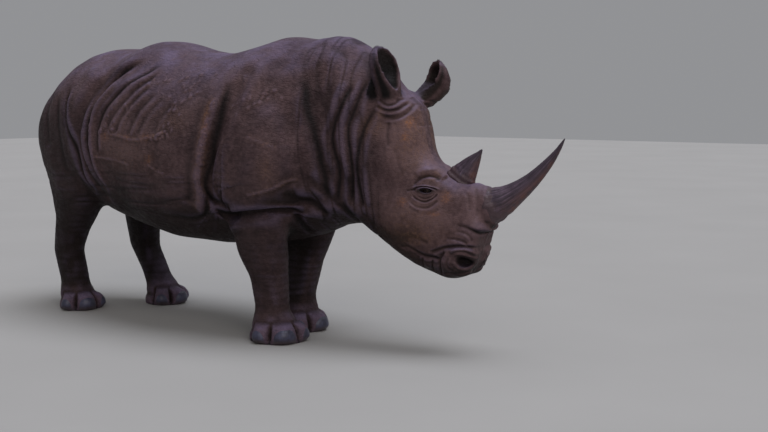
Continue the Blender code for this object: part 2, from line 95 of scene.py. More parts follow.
# ------------------------------------------------------------------------- frames
@dataclass(frozen=True)
class StraightFrame:
    """Leads points between the row frame and the straight frame.

    Args:
        offset: How far the row frame's origin lies behind the straight frame's.
        turn: The angle by which the head is swung to the animal's left.
        start: The u at which the neck starts to swing.
        end: The u past which the swing is whole.
    """

    offset: float
    turn: float = math.radians(10.0)
    start: float = 0.20
    end: float = 0.60

    @property
    def radius(self) -> float:
        """Radius of the arc that the neck's middle line follows."""
        return (self.end - self.start) / self.turn

    def straighten(self, points: Array) -> Array:
        """Takes row points to the straight frame.

        Args:
            points: Rows of x, y, z.

        Returns:
            Rows of u, v, z.
        """
        x, y = points[:, 0] - self.offset, points[:, 1]
        angle = np.clip(np.arctan2(x - self.start, self.radius - y), 0.0, self.turn)
        sin, cos = np.sin(angle), np.cos(angle)
        foot_x = self.start + self.radius * sin
        foot_y = self.radius * (1.0 - cos)
        out = points.copy()
        along = (x - foot_x) * cos + (y - foot_y) * sin
        out[:, 0] = self.start + angle * self.radius + along
        out[:, 1] = (y - foot_y) * cos - (x - foot_x) * sin
        behind = x < self.start
        out[behind, 0] = x[behind]
        out[behind, 1] = y[behind]
        return out

    def swing(self, points: Array) -> Array:
        """Takes straight points to the row frame.

        Args:
            points: Rows of u, v, z.

        Returns:
            Rows of x, y, z.
        """
        u, v = points[:, 0], points[:, 1]
        angle = np.clip((u - self.start) / self.radius, 0.0, self.turn)
        past = u - self.start - angle * self.radius
        sin, cos = np.sin(angle), np.cos(angle)
        out = points.copy()
        out[:, 0] = self.offset + self.start + self.radius * sin + past * cos - v * sin
        out[:, 1] = self.radius * (1.0 - cos) + past * sin + v * cos
        return out

    def place(self, u: float, v: float, z: float) -> Vector:
        """One straight point in the row frame."""
        return Vector(self.swing(np.array([[u, v, z]]))[0])


# ---------------------------------------------------------------------- mesh tools
def deselect_all() -> None:
    """Leaves nothing selected and no object active."""
    bpy.ops.object.select_all(action="DESELECT")
    bpy.context.view_layer.objects.active = None


def make_active(obj: Piece) -> None:
    """Selects one object and makes it the active one.

    Args:
        obj: The object.
    """
    deselect_all()
    obj.select_set(True)
    bpy.context.view_layer.objects.active = obj


def apply_modifier(obj: Piece, kind: str, **settings: object) -> None:
    """Adds a modifier and applies it.

    Args:
        obj: The piece.
        kind: The modifier's type.
        settings: Its properties.
    """
    make_active(obj)
    step = obj.modifiers.new(kind.lower(), kind)
    for name, value in settings.items():
        setattr(step, name, value)
    bpy.ops.object.modifier_apply(modifier=step.name)


def edit_all(obj: Piece, operator: Callable, **settings: object) -> None:
    """Runs one mesh operator on the whole of a piece.

    Args:
        obj: The piece.
        operator: The operator.
        settings: What it is given.
    """
    make_active(obj)
    bpy.ops.object.mode_set(mode="EDIT")
    bpy.ops.mesh.select_all(action="SELECT")
    operator(**settings)
    bpy.ops.object.mode_set(mode="OBJECT")


def copies_joined(name: str, nodes: list[Piece]) -> Piece:
    """Joins merged copies of CAD nodes into one new object.

    Args:
        name: The new object's name.
        nodes: The CAD nodes, which stay as they are.

    Returns:
        The new object, with its place in its mesh.
    """
    deselect_all()
    for node in nodes:
        twin = bpy.data.objects.new(name, node.data.copy())
        bpy.context.collection.objects.link(twin)
        twin.select_set(True)
        bpy.context.view_layer.objects.active = twin
    bpy.ops.object.join()
    joined = bpy.context.view_layer.objects.active
    joined.name = joined.data.name = name
    joined.data.materials.clear()
    edit_all(joined, bpy.ops.mesh.remove_doubles, threshold=1e-5)
    return joined


def hand_over(piece: Piece, slot: str, finish: Material, *stands_for: str) -> None:
    """Dresses a finished piece, hangs it on the root and hides the CAD nodes that it stands for.

    Args:
        piece: The piece.
        slot: The slot that its finish comes from; not used.
        finish: Its material.
        stands_for: The CAD nodes that it replaces.
    """
    mesh = piece.data
    mesh.polygons.foreach_set("use_smooth", np.ones(len(mesh.polygons), bool))
    mesh.update()
    mesh.materials.append(finish)
    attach(piece, "root")
    if stands_for:
        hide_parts(*stands_for)
    log.info("%s: %d faces", piece.name, len(mesh.polygons))


def read(rows: bpy.types.bpy_prop_collection, field: str, width: int = 3,
         kind: type = np.float32) -> Array:
    """Reads one field of many mesh elements.

    Args:
        rows: The elements.
        field: The field.
        width: How many numbers it has.
        kind: Of which kind they are.

    Returns:
        One row per element.
    """
    flat = np.empty(len(rows) * width, kind)
    rows.foreach_get(field, flat)
    return flat.reshape(-1, width)


def points_of(mesh: Mesh) -> Array:
    """The mesh's vertices as rows of x, y, z."""
    return read(mesh.vertices, "co").astype(float)


def normals_of(mesh: Mesh) -> Array:
    """The mesh's vertex normals as rows."""
    return read(mesh.vertex_normals, "vector").astype(float)


def set_points(mesh: Mesh, points: Array) -> None:
    """Writes moved vertices back."""
    mesh.vertices.foreach_set("co", points.astype(np.float32).ravel())
    mesh.update()


def relax(mesh: Mesh, share: Array, rounds: int) -> None:
    """Evens a mesh out, more where the share is high.

    Args:
        mesh: The mesh to even out.
        share: Per vertex, 0 keeps it still and 1 relaxes it fully.
        rounds: How many times each vertex moves half way to its neighbours' middle.
    """
    points, edges = points_of(mesh), read(mesh.edges, "vertices", 2, np.int32)
    count = len(points)
    ends, starts = edges[:, 0], edges[:, 1]
    number = np.bincount(edges.ravel(), minlength=count).clip(1)
    step = 0.5 * share
    for _ in range(rounds):
        for axis in range(3):
            column = points[:, axis]
            total = np.bincount(ends, column[starts], count)
            total += np.bincount(starts, column[ends], count)
            points[:, axis] = column + step * (total / number - column)
    set_points(mesh, points)


def store(mesh: Mesh, name: str, values: Array) -> None:
    """Keeps one number per vertex as a named attribute."""
    layer = mesh.attributes.new(name, "FLOAT", "POINT")
    layer.data.foreach_set("value", values.astype(np.float32))


def slope(value: Array, low: float, high: float) -> Array:
    """0 below low, 1 above high and softly between; low may be the greater."""
    share = np.clip((value - low) / (high - low), 0.0, 1.0)
    return share * share * (3.0 - 2.0 * share)


def bell(value: Array, middle: float, width: float | Array) -> Array:
    """1 in the middle, falling softly to nothing over twice the width."""
    return np.exp(-(((value - middle) / width) ** 2))


def inside_box(points: Array, node: str, margin: float, axes: int = 3) -> Array:
    """Which row points lie in a CAD node's box.

    Args:
        points: Rows of x, y, z.
        node: The node.
        margin: How far the box is grown.
        axes: 3, or 2 where the height doesn't matter.

    Returns:
        True or False per row.
    """
    low, high = (np.array(corner)[:axes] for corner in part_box(node))
    spots = points[:, :axes]
    return np.all((spots > low - margin) & (spots < high + margin), axis=1)


def noise(points: Array, scale: float | Point, seed: int) -> Array:
    """Smooth random values from -1 to 1 over space.

    Args:
        points: Rows of x, y, z.
        scale: Cells per metre, alike or per axis.
        seed: Which pattern.

    Returns:
        One value per row.
    """
    spot = points * np.array(scale)
    cell = np.floor(spot).astype(np.int64)
    part = spot - cell
    part = part * part * (3.0 - 2.0 * part)
    total = np.zeros(len(points))
    for corner in range(8):
        step = np.array([corner & 1, corner >> 1 & 1, corner >> 2 & 1])
        key = (cell + step) @ np.array([73856093, 19349663, 83492791]) + seed * 7919
        key = (key ^ (key >> 13)) * 1274126177 & 0x7FFFFFFF
        value = ((key >> 8) & 0xFFFF) / 32767.5 - 1.0
        total += value * np.prod(np.where(step == 1, part, 1.0 - part), axis=1)
    return total


def curve_through(path: tuple[Spot, ...], steps: int = 5) -> Array:
    """A smooth line through the points of a path.

    Args:
        path: The points.
        steps: Short runs between two of them.

    Returns:
        The line's points as rows.
    """
    rows = np.array(path, float)
    rows = np.vstack([2 * rows[0] - rows[1], rows, 2 * rows[-1] - rows[-2]])
    line = []
    for a, b, c, d in zip(rows[:-3], rows[1:-2], rows[2:-1], rows[3:]):
        for t in np.arange(steps) / steps:
            line.append(
                0.5 * (2 * b + (c - a) * t + (2 * a - 5 * b + 4 * c - d) * t**2
                       + (3 * b - a - 3 * c + d) * t**3)
            )
    line.append(rows[-2])
    return np.array(line)


# -------------------------------------------------------------- folds and features
@dataclass(frozen=True)
class Fold:
    """A groove in the skin, drawn on the straight side view from its start to its end.

    Args:
        path: Its (u, z) points.
        depth: Its depth at the start and at the end, negative for a ridge.
        width: Its half width at the start and at the end.
        ahead: How far the skin rises on its left-hand side, seen along the path.
        behind: The same on its right-hand side.
        lap: How far the left-hand side stands above the other, at the start and the end.
        reach: How far from the fold the lap dies away.
        dust: How much ochre dust lies on the skin that rises beside it.
        inner: It only marks skin that lies further out from the middle than this.
    """

    path: tuple[Spot, ...]
    depth: Pair
    width: Pair
    ahead: float = 0.0
    behind: float = 0.0
    lap: Pair = (0.0, 0.0)
    reach: float = 0.09
    dust: float = 0.0
    inner: float = 0.15


TRUNK_FOLDS = (
    # the shoulder's back edge, the rib roll behind it and the hook at the roll's foot
    Fold(((-0.13, 1.52), (-0.15, 1.45), (-0.16, 1.38), (-0.17, 1.30), (-0.19, 1.22), (-0.21, 1.14),
          (-0.23, 1.06), (-0.255, 0.99), (-0.275, 0.92), (-0.28, 0.87), (-0.265, 0.82),
          (-0.22, 0.775)), (0.005, 0.044), (0.036, 0.017), ahead=0.004, lap=(0.008, 0.05)),
    Fold(((-0.21, 1.43), (-0.23, 1.36), (-0.26, 1.28), (-0.27, 1.18), (-0.28, 1.11),
          (-0.295, 1.03), (-0.315, 0.94), (-0.325, 0.86), (-0.345, 0.79), (-0.40, 0.74)),
         (-0.004, -0.012), (0.036, 0.028), dust=1.0),
    Fold(((-0.28, 1.42), (-0.33, 1.28), (-0.35, 1.15), (-0.365, 1.03), (-0.385, 0.93),
          (-0.395, 0.85), (-0.43, 0.78)), (0.003, 0.009), (0.04, 0.03)),
    Fold(((-0.29, 0.84), (-0.31, 0.77), (-0.36, 0.715), (-0.45, 0.695), (-0.56, 0.70),
          (-0.70, 0.705)),
         (0.016, 0.004), (0.02, 0.024), lap=(-0.03, -0.01), reach=0.07, inner=0.13),
    # the lap of shoulder skin over the front leg, and the leg's own two edges below it
    Fold(((-0.25, 0.78), (-0.215, 0.742), (-0.12, 0.752), (-0.05, 0.765), (0.02, 0.775),
          (0.09, 0.782), (0.15, 0.785), (0.20, 0.775), (0.25, 0.75)),
         (0.012, 0.01), (0.013, 0.013), ahead=0.01, lap=(0.056, 0.04), reach=0.10, inner=0.13),
    Fold(((0.15, 0.50), (0.17, 0.60), (0.185, 0.68), (0.20, 0.75)),
         (0.006, 0.02), (0.026, 0.022), lap=(0.006, 0.036), reach=0.07, inner=0.10),
    Fold(((-0.235, 0.74), (-0.225, 0.66), (-0.205, 0.58)),
         (0.016, 0.004), (0.024, 0.026), lap=(0.024, 0.004), reach=0.06, inner=0.10),
    # the fan of folds on the flank, from the haunch forwards
    Fold(((-1.08, 1.60), (-1.20, 1.50), (-1.29, 1.39), (-1.335, 1.28), (-1.35, 1.18)),
         (0.006, 0.004), (0.034, 0.03)),
    Fold(((-0.93, 1.62), (-1.02, 1.585), (-1.10, 1.54), (-1.17, 1.46), (-1.22, 1.40),
          (-1.26, 1.33), (-1.28, 1.26), (-1.29, 1.18), (-1.29, 1.10), (-1.275, 1.02),
          (-1.255, 0.94), (-1.22, 0.87), (-1.17, 0.80)),
         (0.012, 0.028), (0.021, 0.02), ahead=0.01, behind=0.008, lap=(0.0, -0.018), dust=0.4),
    Fold(((-0.77, 1.61), (-0.84, 1.555), (-0.92, 1.505), (-0.99, 1.45), (-1.06, 1.39),
          (-1.12, 1.33), (-1.16, 1.27), (-1.185, 1.20), (-1.19, 1.11), (-1.18, 1.04)),
         (0.012, 0.01), (0.018, 0.022), ahead=0.006, dust=0.5),
    Fold(((-0.76, 1.52), (-0.82, 1.49), (-0.88, 1.445), (-0.94, 1.385), (-1.00, 1.325),
          (-1.06, 1.26), (-1.09, 1.19)), (0.006, 0.006), (0.016, 0.02), ahead=0.004, dust=0.5),
    Fold(((-0.77, 1.46), (-0.83, 1.41), (-0.90, 1.345), (-0.96, 1.27), (-1.00, 1.18)),
         (0.004, 0.006), (0.016, 0.02), ahead=0.004, dust=0.6),
    Fold(((-0.70, 1.42), (-0.75, 1.37), (-0.81, 1.31), (-0.85, 1.24), (-0.88, 1.17)),
         (0.004, 0.006), (0.016, 0.02), ahead=0.003, dust=0.5),
    Fold(((-0.62, 1.39), (-0.67, 1.355), (-0.72, 1.30), (-0.76, 1.24), (-0.79, 1.17)),
         (0.003, 0.004), (0.016, 0.02), ahead=0.003, dust=0.4),
    Fold(((-0.54, 1.36), (-0.58, 1.32), (-0.62, 1.26), (-0.65, 1.19)),
         (0.003, 0.004), (0.016, 0.02), ahead=0.002, dust=0.4),
    # the haunch
    Fold(((-1.54, 1.48), (-1.55, 1.37), (-1.53, 1.27), (-1.49, 1.18), (-1.44, 1.10), (-1.42, 1.03),
          (-1.41, 0.94), (-1.385, 0.86), (-1.34, 0.80)),
         (0.014, 0.02), (0.022, 0.02), ahead=0.008, lap=(0.006, 0.016)),
    Fold(((-1.67, 1.42), (-1.66, 1.29), (-1.63, 1.16), (-1.61, 1.01), (-1.57, 0.89)),
         (0.008, 0.006), (0.028, 0.028), ahead=0.003, inner=0.12),
    Fold(((-1.80, 1.44), (-1.80, 1.26), (-1.76, 1.08)),
         (0.008, 0.006), (0.028, 0.03), inner=0.08),
    # neck, from the shoulder forwards to the jaw
    Fold(((0.28, 1.57), (0.31, 1.43), (0.33, 1.34), (0.35, 1.26), (0.365, 1.19), (0.38, 1.12),
          (0.385, 1.05), (0.40, 0.96), (0.40, 0.88), (0.39, 0.78)),
         (0.014, 0.026), (0.044, 0.034), ahead=0.004, lap=(-0.006, -0.02), inner=0.10),
    Fold(((0.53, 1.50), (0.52, 1.44), (0.50, 1.38), (0.475, 1.31), (0.45, 1.25), (0.435, 1.18),
          (0.445, 1.10), (0.46, 1.03), (0.46, 0.95), (0.445, 0.86), (0.43, 0.78)),
         (0.012, 0.015), (0.018, 0.018), ahead=0.005, behind=0.011, inner=0.08),
    Fold(((0.60, 1.51), (0.58, 1.45), (0.565, 1.39), (0.55, 1.32), (0.53, 1.24), (0.525, 1.16),
          (0.53, 1.07), (0.53, 0.98), (0.51, 0.88), (0.49, 0.79)),
         (0.01, 0.014), (0.017, 0.018), ahead=0.006, behind=0.006, inner=0.08),
    Fold(((0.66, 1.37), (0.62, 1.27), (0.59, 1.17), (0.57, 1.06), (0.565, 0.95), (0.57, 0.86),
          (0.58, 0.79)), (0.01, 0.015), (0.022, 0.022), ahead=0.008, inner=0.08),
    Fold(((0.30, 0.98), (0.38, 0.88), (0.45, 0.79), (0.50, 0.70)),
         (0.004, 0.014), (0.026, 0.02), ahead=0.006, inner=0.05),
    Fold(((0.20, 0.88), (0.28, 0.82), (0.36, 0.74)),
         (0.004, 0.014), (0.026, 0.022), ahead=0.006, inner=0.05),
    # old scars
    Fold(((-1.25, 1.04), (-1.11, 1.03), (-0.97, 1.02), (-0.84, 1.00)),
         (-0.003, -0.003), (0.008, 0.008), dust=1.0),
    Fold(((-1.12, 1.18), (-0.96, 1.17), (-0.85, 1.15), (-0.71, 1.16), (-0.60, 1.18),
          (-0.54, 1.21)), (-0.004, -0.004), (0.01, 0.012), dust=1.3),
    Fold(((-0.69, 1.01), (-0.62, 0.98), (-0.54, 0.96)),
         (-0.003, -0.003), (0.008, 0.008), dust=1.0),
    Fold(((0.01, 0.86), (0.11, 0.88), (0.19, 0.91), (0.23, 0.94), (0.28, 0.96)),
         (-0.004, -0.003), (0.009, 0.008), dust=1.0),
    Fold(((0.02, 1.19), (0.12, 1.16), (0.18, 1.14), (0.22, 1.12)),
         (-0.002, -0.002), (0.012, 0.012), dust=0.8),
)

HEAD_FOLDS = (
    # the brow and the creases between it and the upper lid
    Fold(((0.88, 0.97), (0.91, 1.00), (0.94, 1.01), (0.97, 1.01), (0.995, 0.99), (1.02, 0.96)),
         (-0.009, -0.012), (0.017, 0.014), inner=0.05),
    Fold(((0.87, 0.925), (0.89, 0.948), (0.91, 0.965), (0.935, 0.976), (0.96, 0.98),
          (0.985, 0.973), (1.00, 0.95)), (0.008, 0.01), (0.009, 0.009), inner=0.05),
    Fold(((0.84, 0.90), (0.86, 0.905), (0.885, 0.905)),
         (0.004, 0.005), (0.006, 0.006), inner=0.08),
    # the bags under the eye
    Fold(((0.868, 0.885), (0.885, 0.862), (0.91, 0.848), (0.935, 0.842), (0.96, 0.85),
          (0.985, 0.868), (1.00, 0.89)),
         (0.005, 0.007), (0.005, 0.005), behind=0.002, inner=0.08),
    Fold(((0.895, 0.876), (0.915, 0.864), (0.94, 0.86), (0.965, 0.868), (0.985, 0.885)),
         (0.002, 0.004), (0.004, 0.004), inner=0.08),
    Fold(((0.85, 0.86), (0.88, 0.828), (0.91, 0.813), (0.95, 0.812), (0.98, 0.83),
          (1.005, 0.855)), (0.003, 0.006), (0.006, 0.006), behind=0.002, inner=0.08),
    Fold(((0.90, 0.785), (0.94, 0.778), (0.98, 0.79), (1.01, 0.81)),
         (0.001, 0.004), (0.008, 0.008), behind=0.001, inner=0.08),
    Fold(((0.86, 0.82), (0.88, 0.80), (0.91, 0.79)),
         (0.003, 0.003), (0.008, 0.008), inner=0.08),
    # muzzle: the crease under the horn's boss, the fan below it and the nose's top line
    Fold(((1.09, 0.728), (1.15, 0.72), (1.19, 0.706), (1.215, 0.692), (1.235, 0.68),
          (1.26, 0.668)), (0.002, 0.02), (0.009, 0.01), lap=(0.0, 0.014), reach=0.05, inner=0.0),
    Fold(((1.10, 0.693), (1.14, 0.69), (1.17, 0.68), (1.19, 0.662), (1.20, 0.64)),
         (0.002, 0.006), (0.007, 0.007), behind=0.002, inner=0.0),
    Fold(((1.05, 0.655), (1.08, 0.652), (1.12, 0.648), (1.15, 0.64), (1.18, 0.622)),
         (0.002, 0.006), (0.007, 0.007), behind=0.002, inner=0.0),
    Fold(((0.96, 0.565), (0.98, 0.575), (1.02, 0.59), (1.05, 0.60), (1.10, 0.607), (1.16, 0.61),
          (1.22, 0.602)), (0.006, 0.01), (0.008, 0.008), ahead=0.003, behind=0.003, inner=0.0),
    Fold(((1.08, 0.57), (1.10, 0.588), (1.14, 0.598), (1.175, 0.596), (1.198, 0.575),
          (1.195, 0.54), (1.18, 0.495)), (-0.01, -0.008), (0.012, 0.011), inner=0.03),
    Fold(((1.195, 0.47), (1.215, 0.51), (1.222, 0.56), (1.215, 0.60)),
         (0.007, 0.006), (0.008, 0.008), inner=0.0),
    # mouth: the corner, the line behind it, the two lobes of the lower lip
    Fold(((0.995, 0.43), (1.002, 0.46), (1.007, 0.49), (1.012, 0.53), (1.03, 0.56),
          (1.05, 0.585)),
         (0.018, 0.007), (0.009, 0.009), lap=(-0.014, -0.006), reach=0.04, inner=0.0),
    Fold(((1.01, 0.53), (0.98, 0.54), (0.93, 0.543), (0.89, 0.557), (0.85, 0.578), (0.79, 0.605)),
         (0.014, 0.004), (0.009, 0.01), ahead=0.005, behind=0.003, inner=0.0),
    Fold(((0.968, 0.53), (0.958, 0.50), (0.948, 0.455)),
         (0.008, 0.008), (0.007, 0.007), inner=0.02),
    Fold(((0.905, 0.54), (0.895, 0.51), (0.89, 0.48)), (0.006, 0.006), (0.008, 0.008), inner=0.02),
    Fold(((0.77, 0.60), (0.83, 0.565), (0.89, 0.53)), (0.003, 0.006), (0.01, 0.009), inner=0.02),
    Fold(((1.02, 0.455), (1.06, 0.464), (1.12, 0.464), (1.17, 0.478), (1.21, 0.51)),
         (0.006, 0.005), (0.007, 0.007), inner=0.0),
    Fold(((1.075, 0.55), (1.06, 0.52), (1.07, 0.49), (1.10, 0.475)),
         (0.005, 0.004), (0.008, 0.008), inner=0.04),
    # cheek, temple and the skin round the ear's root
    Fold(((0.80, 0.66), (0.88, 0.645), (0.95, 0.615)), (0.002, 0.005), (0.012, 0.01), inner=0.06),
    Fold(((0.73, 1.27), (0.73, 1.20), (0.735, 1.13)), (0.007, 0.004), (0.011, 0.012), inner=0.06),
    Fold(((0.77, 1.13), (0.79, 1.06), (0.82, 0.98)), (0.003, 0.002), (0.014, 0.014), inner=0.06),
    Fold(((0.675, 1.39), (0.695, 1.372), (0.73, 1.355), (0.765, 1.365), (0.778, 1.395)),
         (0.006, 0.007), (0.008, 0.008), behind=0.004, inner=0.05),
    Fold(((0.655, 1.36), (0.69, 1.338), (0.735, 1.325), (0.78, 1.335), (0.802, 1.37)),
         (0.006, 0.007), (0.008, 0.008), behind=0.004, inner=0.05),
    Fold(((0.68, 1.305), (0.73, 1.286), (0.78, 1.29), (0.82, 1.325), (0.825, 1.37)),
         (0.004, 0.006), (0.009, 0.009), behind=0.003, inner=0.02),
    Fold(((0.79, 1.40), (0.83, 1.37), (0.858, 1.33)),
         (0.004, 0.005), (0.009, 0.009), inner=0.0),
    Fold(((0.84, 1.29), (0.87, 1.24)), (0.003, 0.003), (0.01, 0.01), inner=0.0),
    # behind the front horn
    Fold(((1.225, 0.94), (1.24, 0.88), (1.248, 0.83), (1.252, 0.79), (1.25, 0.735)),
         (-0.007, -0.008), (0.017, 0.017), inner=0.0),
    Fold(((1.19, 0.92), (1.205, 0.87), (1.212, 0.82), (1.215, 0.76)),
         (0.004, 0.003), (0.008, 0.008), behind=0.002, inner=0.0),
    Fold(((1.155, 0.90), (1.17, 0.85), (1.18, 0.80)),
         (0.002, 0.003), (0.009, 0.009), behind=0.002, inner=0.05),
)


class Mark(Enum):
    """What a patch of colour on the skin is."""

    SOIL = "dust"
    STAIN = "stain"


@dataclass(frozen=True)
class Patch:
    """A soft patch of soil or stain on both sides of the animal.

    Args:
        kind: What it is.
        centre: Its (u, z).
        radii: How far it reaches along u and z.
        strength: Its share in the middle.
    """

    kind: Mark
    centre: Spot
    radii: Pair
    strength: float


PATCHES = (
    Patch(Mark.STAIN, (1.040, 0.870), (0.020, 0.022), 1.0),
    Patch(Mark.STAIN, (0.820, 0.840), (0.018, 0.016), 0.7),
    Patch(Mark.STAIN, (0.830, 1.265), (0.020, 0.026), 0.9),
    Patch(Mark.STAIN, (0.820, 1.190), (0.015, 0.020), 0.8),
    Patch(Mark.STAIN, (0.980, 0.780), (0.030, 0.010), 0.7),
    Patch(Mark.STAIN, (-0.670, 1.040), (0.020, 0.022), 0.8),
    Patch(Mark.STAIN, (-1.090, 1.160), (0.030, 0.022), 0.6),
    Patch(Mark.STAIN, (-0.880, 1.160), (0.030, 0.014), 0.5),
    Patch(Mark.STAIN, (-0.700, 1.165), (0.040, 0.018), 0.5),
    Patch(Mark.STAIN, (-0.255, 1.250), (0.022, 0.110), 0.5),
    Patch(Mark.SOIL, (0.860, 1.180), (0.110, 0.200), 0.55),
    Patch(Mark.SOIL, (0.880, 0.720), (0.200, 0.150), 0.45),
    Patch(Mark.SOIL, (0.640, 1.240), (0.070, 0.060), 0.9),
    Patch(Mark.SOIL, (0.690, 1.330), (0.022, 0.045), 0.9),
    Patch(Mark.SOIL, (0.890, 0.660), (0.110, 0.060), 0.7),
    Patch(Mark.SOIL, (0.160, 1.000), (0.040, 0.100), 0.5),
    Patch(Mark.SOIL, (-0.900, 1.060), (0.300, 0.120), 0.35),
    Patch(Mark.SOIL, (-0.500, 1.260), (0.100, 0.080), 0.4),
    Patch(Mark.SOIL, (0.960, 0.980), (0.060, 0.040), 0.5),
    Patch(Mark.SOIL, (1.000, 0.700), (0.090, 0.060), 0.4),
)


@dataclass(frozen=True)
class Warts:
    """A band of small hard lumps with dry tips, on both sides.

    Args:
        start: The (u, z) where the band starts.
        end: The (u, z) where it ends.
        spread: How far the lumps stray from its middle line.
        count: How many there are on a side.
    """

    start: Spot
    end: Spot
    spread: float
    count: int


WARTS = (
    Warts((-0.66, 1.145), (-0.50, 1.225), 0.012, 26),
    Warts((-0.22, 1.40), (-0.30, 1.00), 0.010, 22),
    Warts((-1.22, 1.40), (-1.29, 1.12), 0.012, 18),
    Warts((-1.02, 1.38), (-1.16, 1.16), 0.016, 16),
    Warts((-0.92, 1.36), (-1.04, 1.15), 0.016, 12),
    Warts((-0.10, 1.33), (0.16, 1.41), 0.030, 20),
    Warts((-0.95, 1.50), (-0.35, 1.52), 0.060, 26),
    Warts((-0.55, 1.28), (-0.42, 1.40), 0.030, 12),
)


@dataclass(frozen=True)
class Mound:
    """A soft swelling, or with a negative height a hollow, on both sides of the animal.

    Args:
        centre: Its (u, distance from the middle, z).
        radii: How far it reaches along u, v and z.
        height: How far the skin rises in its middle.
    """

    centre: Point
    radii: Point
    height: float


MOUNDS = (
    Mound((0.06, 0.45, 1.00), (0.20, 0.30, 0.20), 0.016),        # point of the shoulder
    Mound((0.02, 0.40, 1.40), (0.16, 0.30, 0.16), 0.008),        # blade of the shoulder
    Mound((-0.060, 0.375, 1.492), (0.044, 0.12, 0.050), 0.026),  # between blade and back
    Mound((-1.40, 0.45, 1.42), (0.14, 0.20, 0.10), 0.014),       # hip
    Mound((-1.50, 0.40, 1.00), (0.20, 0.30, 0.22), 0.012),       # thigh
    Mound((-0.70, 0.55, 0.90), (0.34, 0.30, 0.22), 0.010),       # belly
    Mound((0.10, 0.16, 0.62), (0.10, 0.10, 0.10), -0.020),       # between the front legs
    Mound((0.43, 0.10, 0.78), (0.10, 0.20, 0.09), 0.010),        # dewlap
    Mound((0.930, 0.10, 0.502), (0.028, 0.20, 0.024), 0.009),    # back lobe of the lip
    Mound((0.983, 0.10, 0.492), (0.022, 0.20, 0.030), 0.009),    # front lobe of the lip
    Mound((1.050, 0.13, 0.520), (0.034, 0.20, 0.044), 0.010),    # nostril's back roll
    Mound((1.130, 0.13, 0.578), (0.060, 0.20, 0.018), 0.008),    # nostril's roof
    Mound((1.170, 0.13, 0.660), (0.050, 0.20, 0.022), 0.005),    # roll under the boss
    Mound((1.090, 0.13, 0.630), (0.070, 0.20, 0.014), 0.004),    # roll over the nose
    Mound((1.120, 0.09, 0.460), (0.070, 0.20, 0.020), 0.006),    # upper lip
    Mound((0.945, 0.17, 0.905), (0.070, 0.12, 0.060), 0.010),    # the eye's turret
    Mound((1.020, 0.15, 0.860), (0.040, 0.20, 0.040), -0.006),   # ahead of the eye
    Mound((0.820, 0.20, 0.760), (0.120, 0.20, 0.110), 0.008),    # jaw muscle
    Mound((0.790, 0.20, 1.110), (0.070, 0.20, 0.120), -0.010),   # temple
    Mound((1.090, 0.15, 0.800), (0.090, 0.12, 0.060), -0.008),   # hollow behind the boss
    Mound((1.226, 0.05, 0.708), (0.046, 0.10, 0.032), 0.027),    # lower corner of the boss
)


@dataclass(frozen=True)
class Opening:
    """An oval opening on both sides of the head.

    Args:
        u: Its middle along the head.
        z: Its middle's height.
        length: Half its length.
        height: Half its height.
        tilt: How far its front end is raised.
        depth: How far the skin is drawn in.
        inner: It only opens skin that lies further out from the middle than this.
        arch: How far its ends bend down, as a share of its height.
    """

    u: float
    z: float
    length: float
    height: float
    tilt: float
    depth: float
    inner: float
    arch: float = 0.0

    def reach(self, straight: Array) -> Array:
        """How far points lie from the middle.

        Args:
            straight: Rows of u, v, z.

        Returns:
            0 in the middle, 1 on the edge and more outside it.
        """
        du, dz = straight[:, 0] - self.u, straight[:, 2] - self.z
        along = du * math.cos(self.tilt) + dz * math.sin(self.tilt)
        up = dz * math.cos(self.tilt) - du * math.sin(self.tilt)
        up = up - self.arch * self.height * (along / self.length) ** 2
        flank = np.hypot(along / self.length, up / self.height)
        return flank + 9.0 * (np.abs(straight[:, 1]) < self.inner)


EYE = Opening(0.938, 0.902, 0.029, 0.0100, math.radians(-5.0), 0.022, inner=0.09)
NOSTRIL = Opening(1.150, 0.527, 0.042, 0.030, math.radians(-14.0), 0.048, inner=0.05,
                  arch=0.10)


@dataclass(frozen=True)
class Ear:
    """One ear, in the straight frame.

    Args:
        node: Its CAD node.
        root: The middle of its root.
        tip: Its tip.
        faces: Which way its hollow faces.
        dark: How dark the painted shade deep in its hollow is.
    """

    node: str
    root: Point
    tip: Point
    faces: Point
    dark: float


EARS = (
    Ear("ear_right", (0.705, -0.114, 1.345), (0.674, -0.180, 1.672), (0.92, -0.30, 0.00),
        1.0),
    Ear("ear_left", (0.695, 0.118, 1.330), (0.820, 0.215, 1.615), (-0.25, -0.45, 0.70),
        0.35),
)


@dataclass(frozen=True)
class Foot:
    """One foot.

    Args:
        x: Its middle on the floor.
        y: The same.
        reach: Half its length.
        turn: Which way it points, in degrees.
    """

    x: float
    y: float
    reach: float
    turn: float

    @classmethod
    def from_node(cls, leg: str) -> "Foot":
        """Reads a foot from its CAD nodes; it points at its middle toenail.

        Args:
            leg: The leg that it ends.

        Returns:
            The foot.
        """
        low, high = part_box(f"{leg}_foot")
        middle = (low + high) / 2
        toe = sum(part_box(f"{leg}_nail_2"), Vector()) / 2 - middle
        return cls(middle.x, middle.y, (high.x - low.x) / 2,
                   math.degrees(math.atan2(toe.y, toe.x)))


TOES = ((-60.0, 18.0), (0.0, 25.0), (60.0, 18.0))  # turn and half width, in degrees
CLEFTS = (-90.0, -34.0, 34.0, 90.0)     # between and beside the toes, in degrees


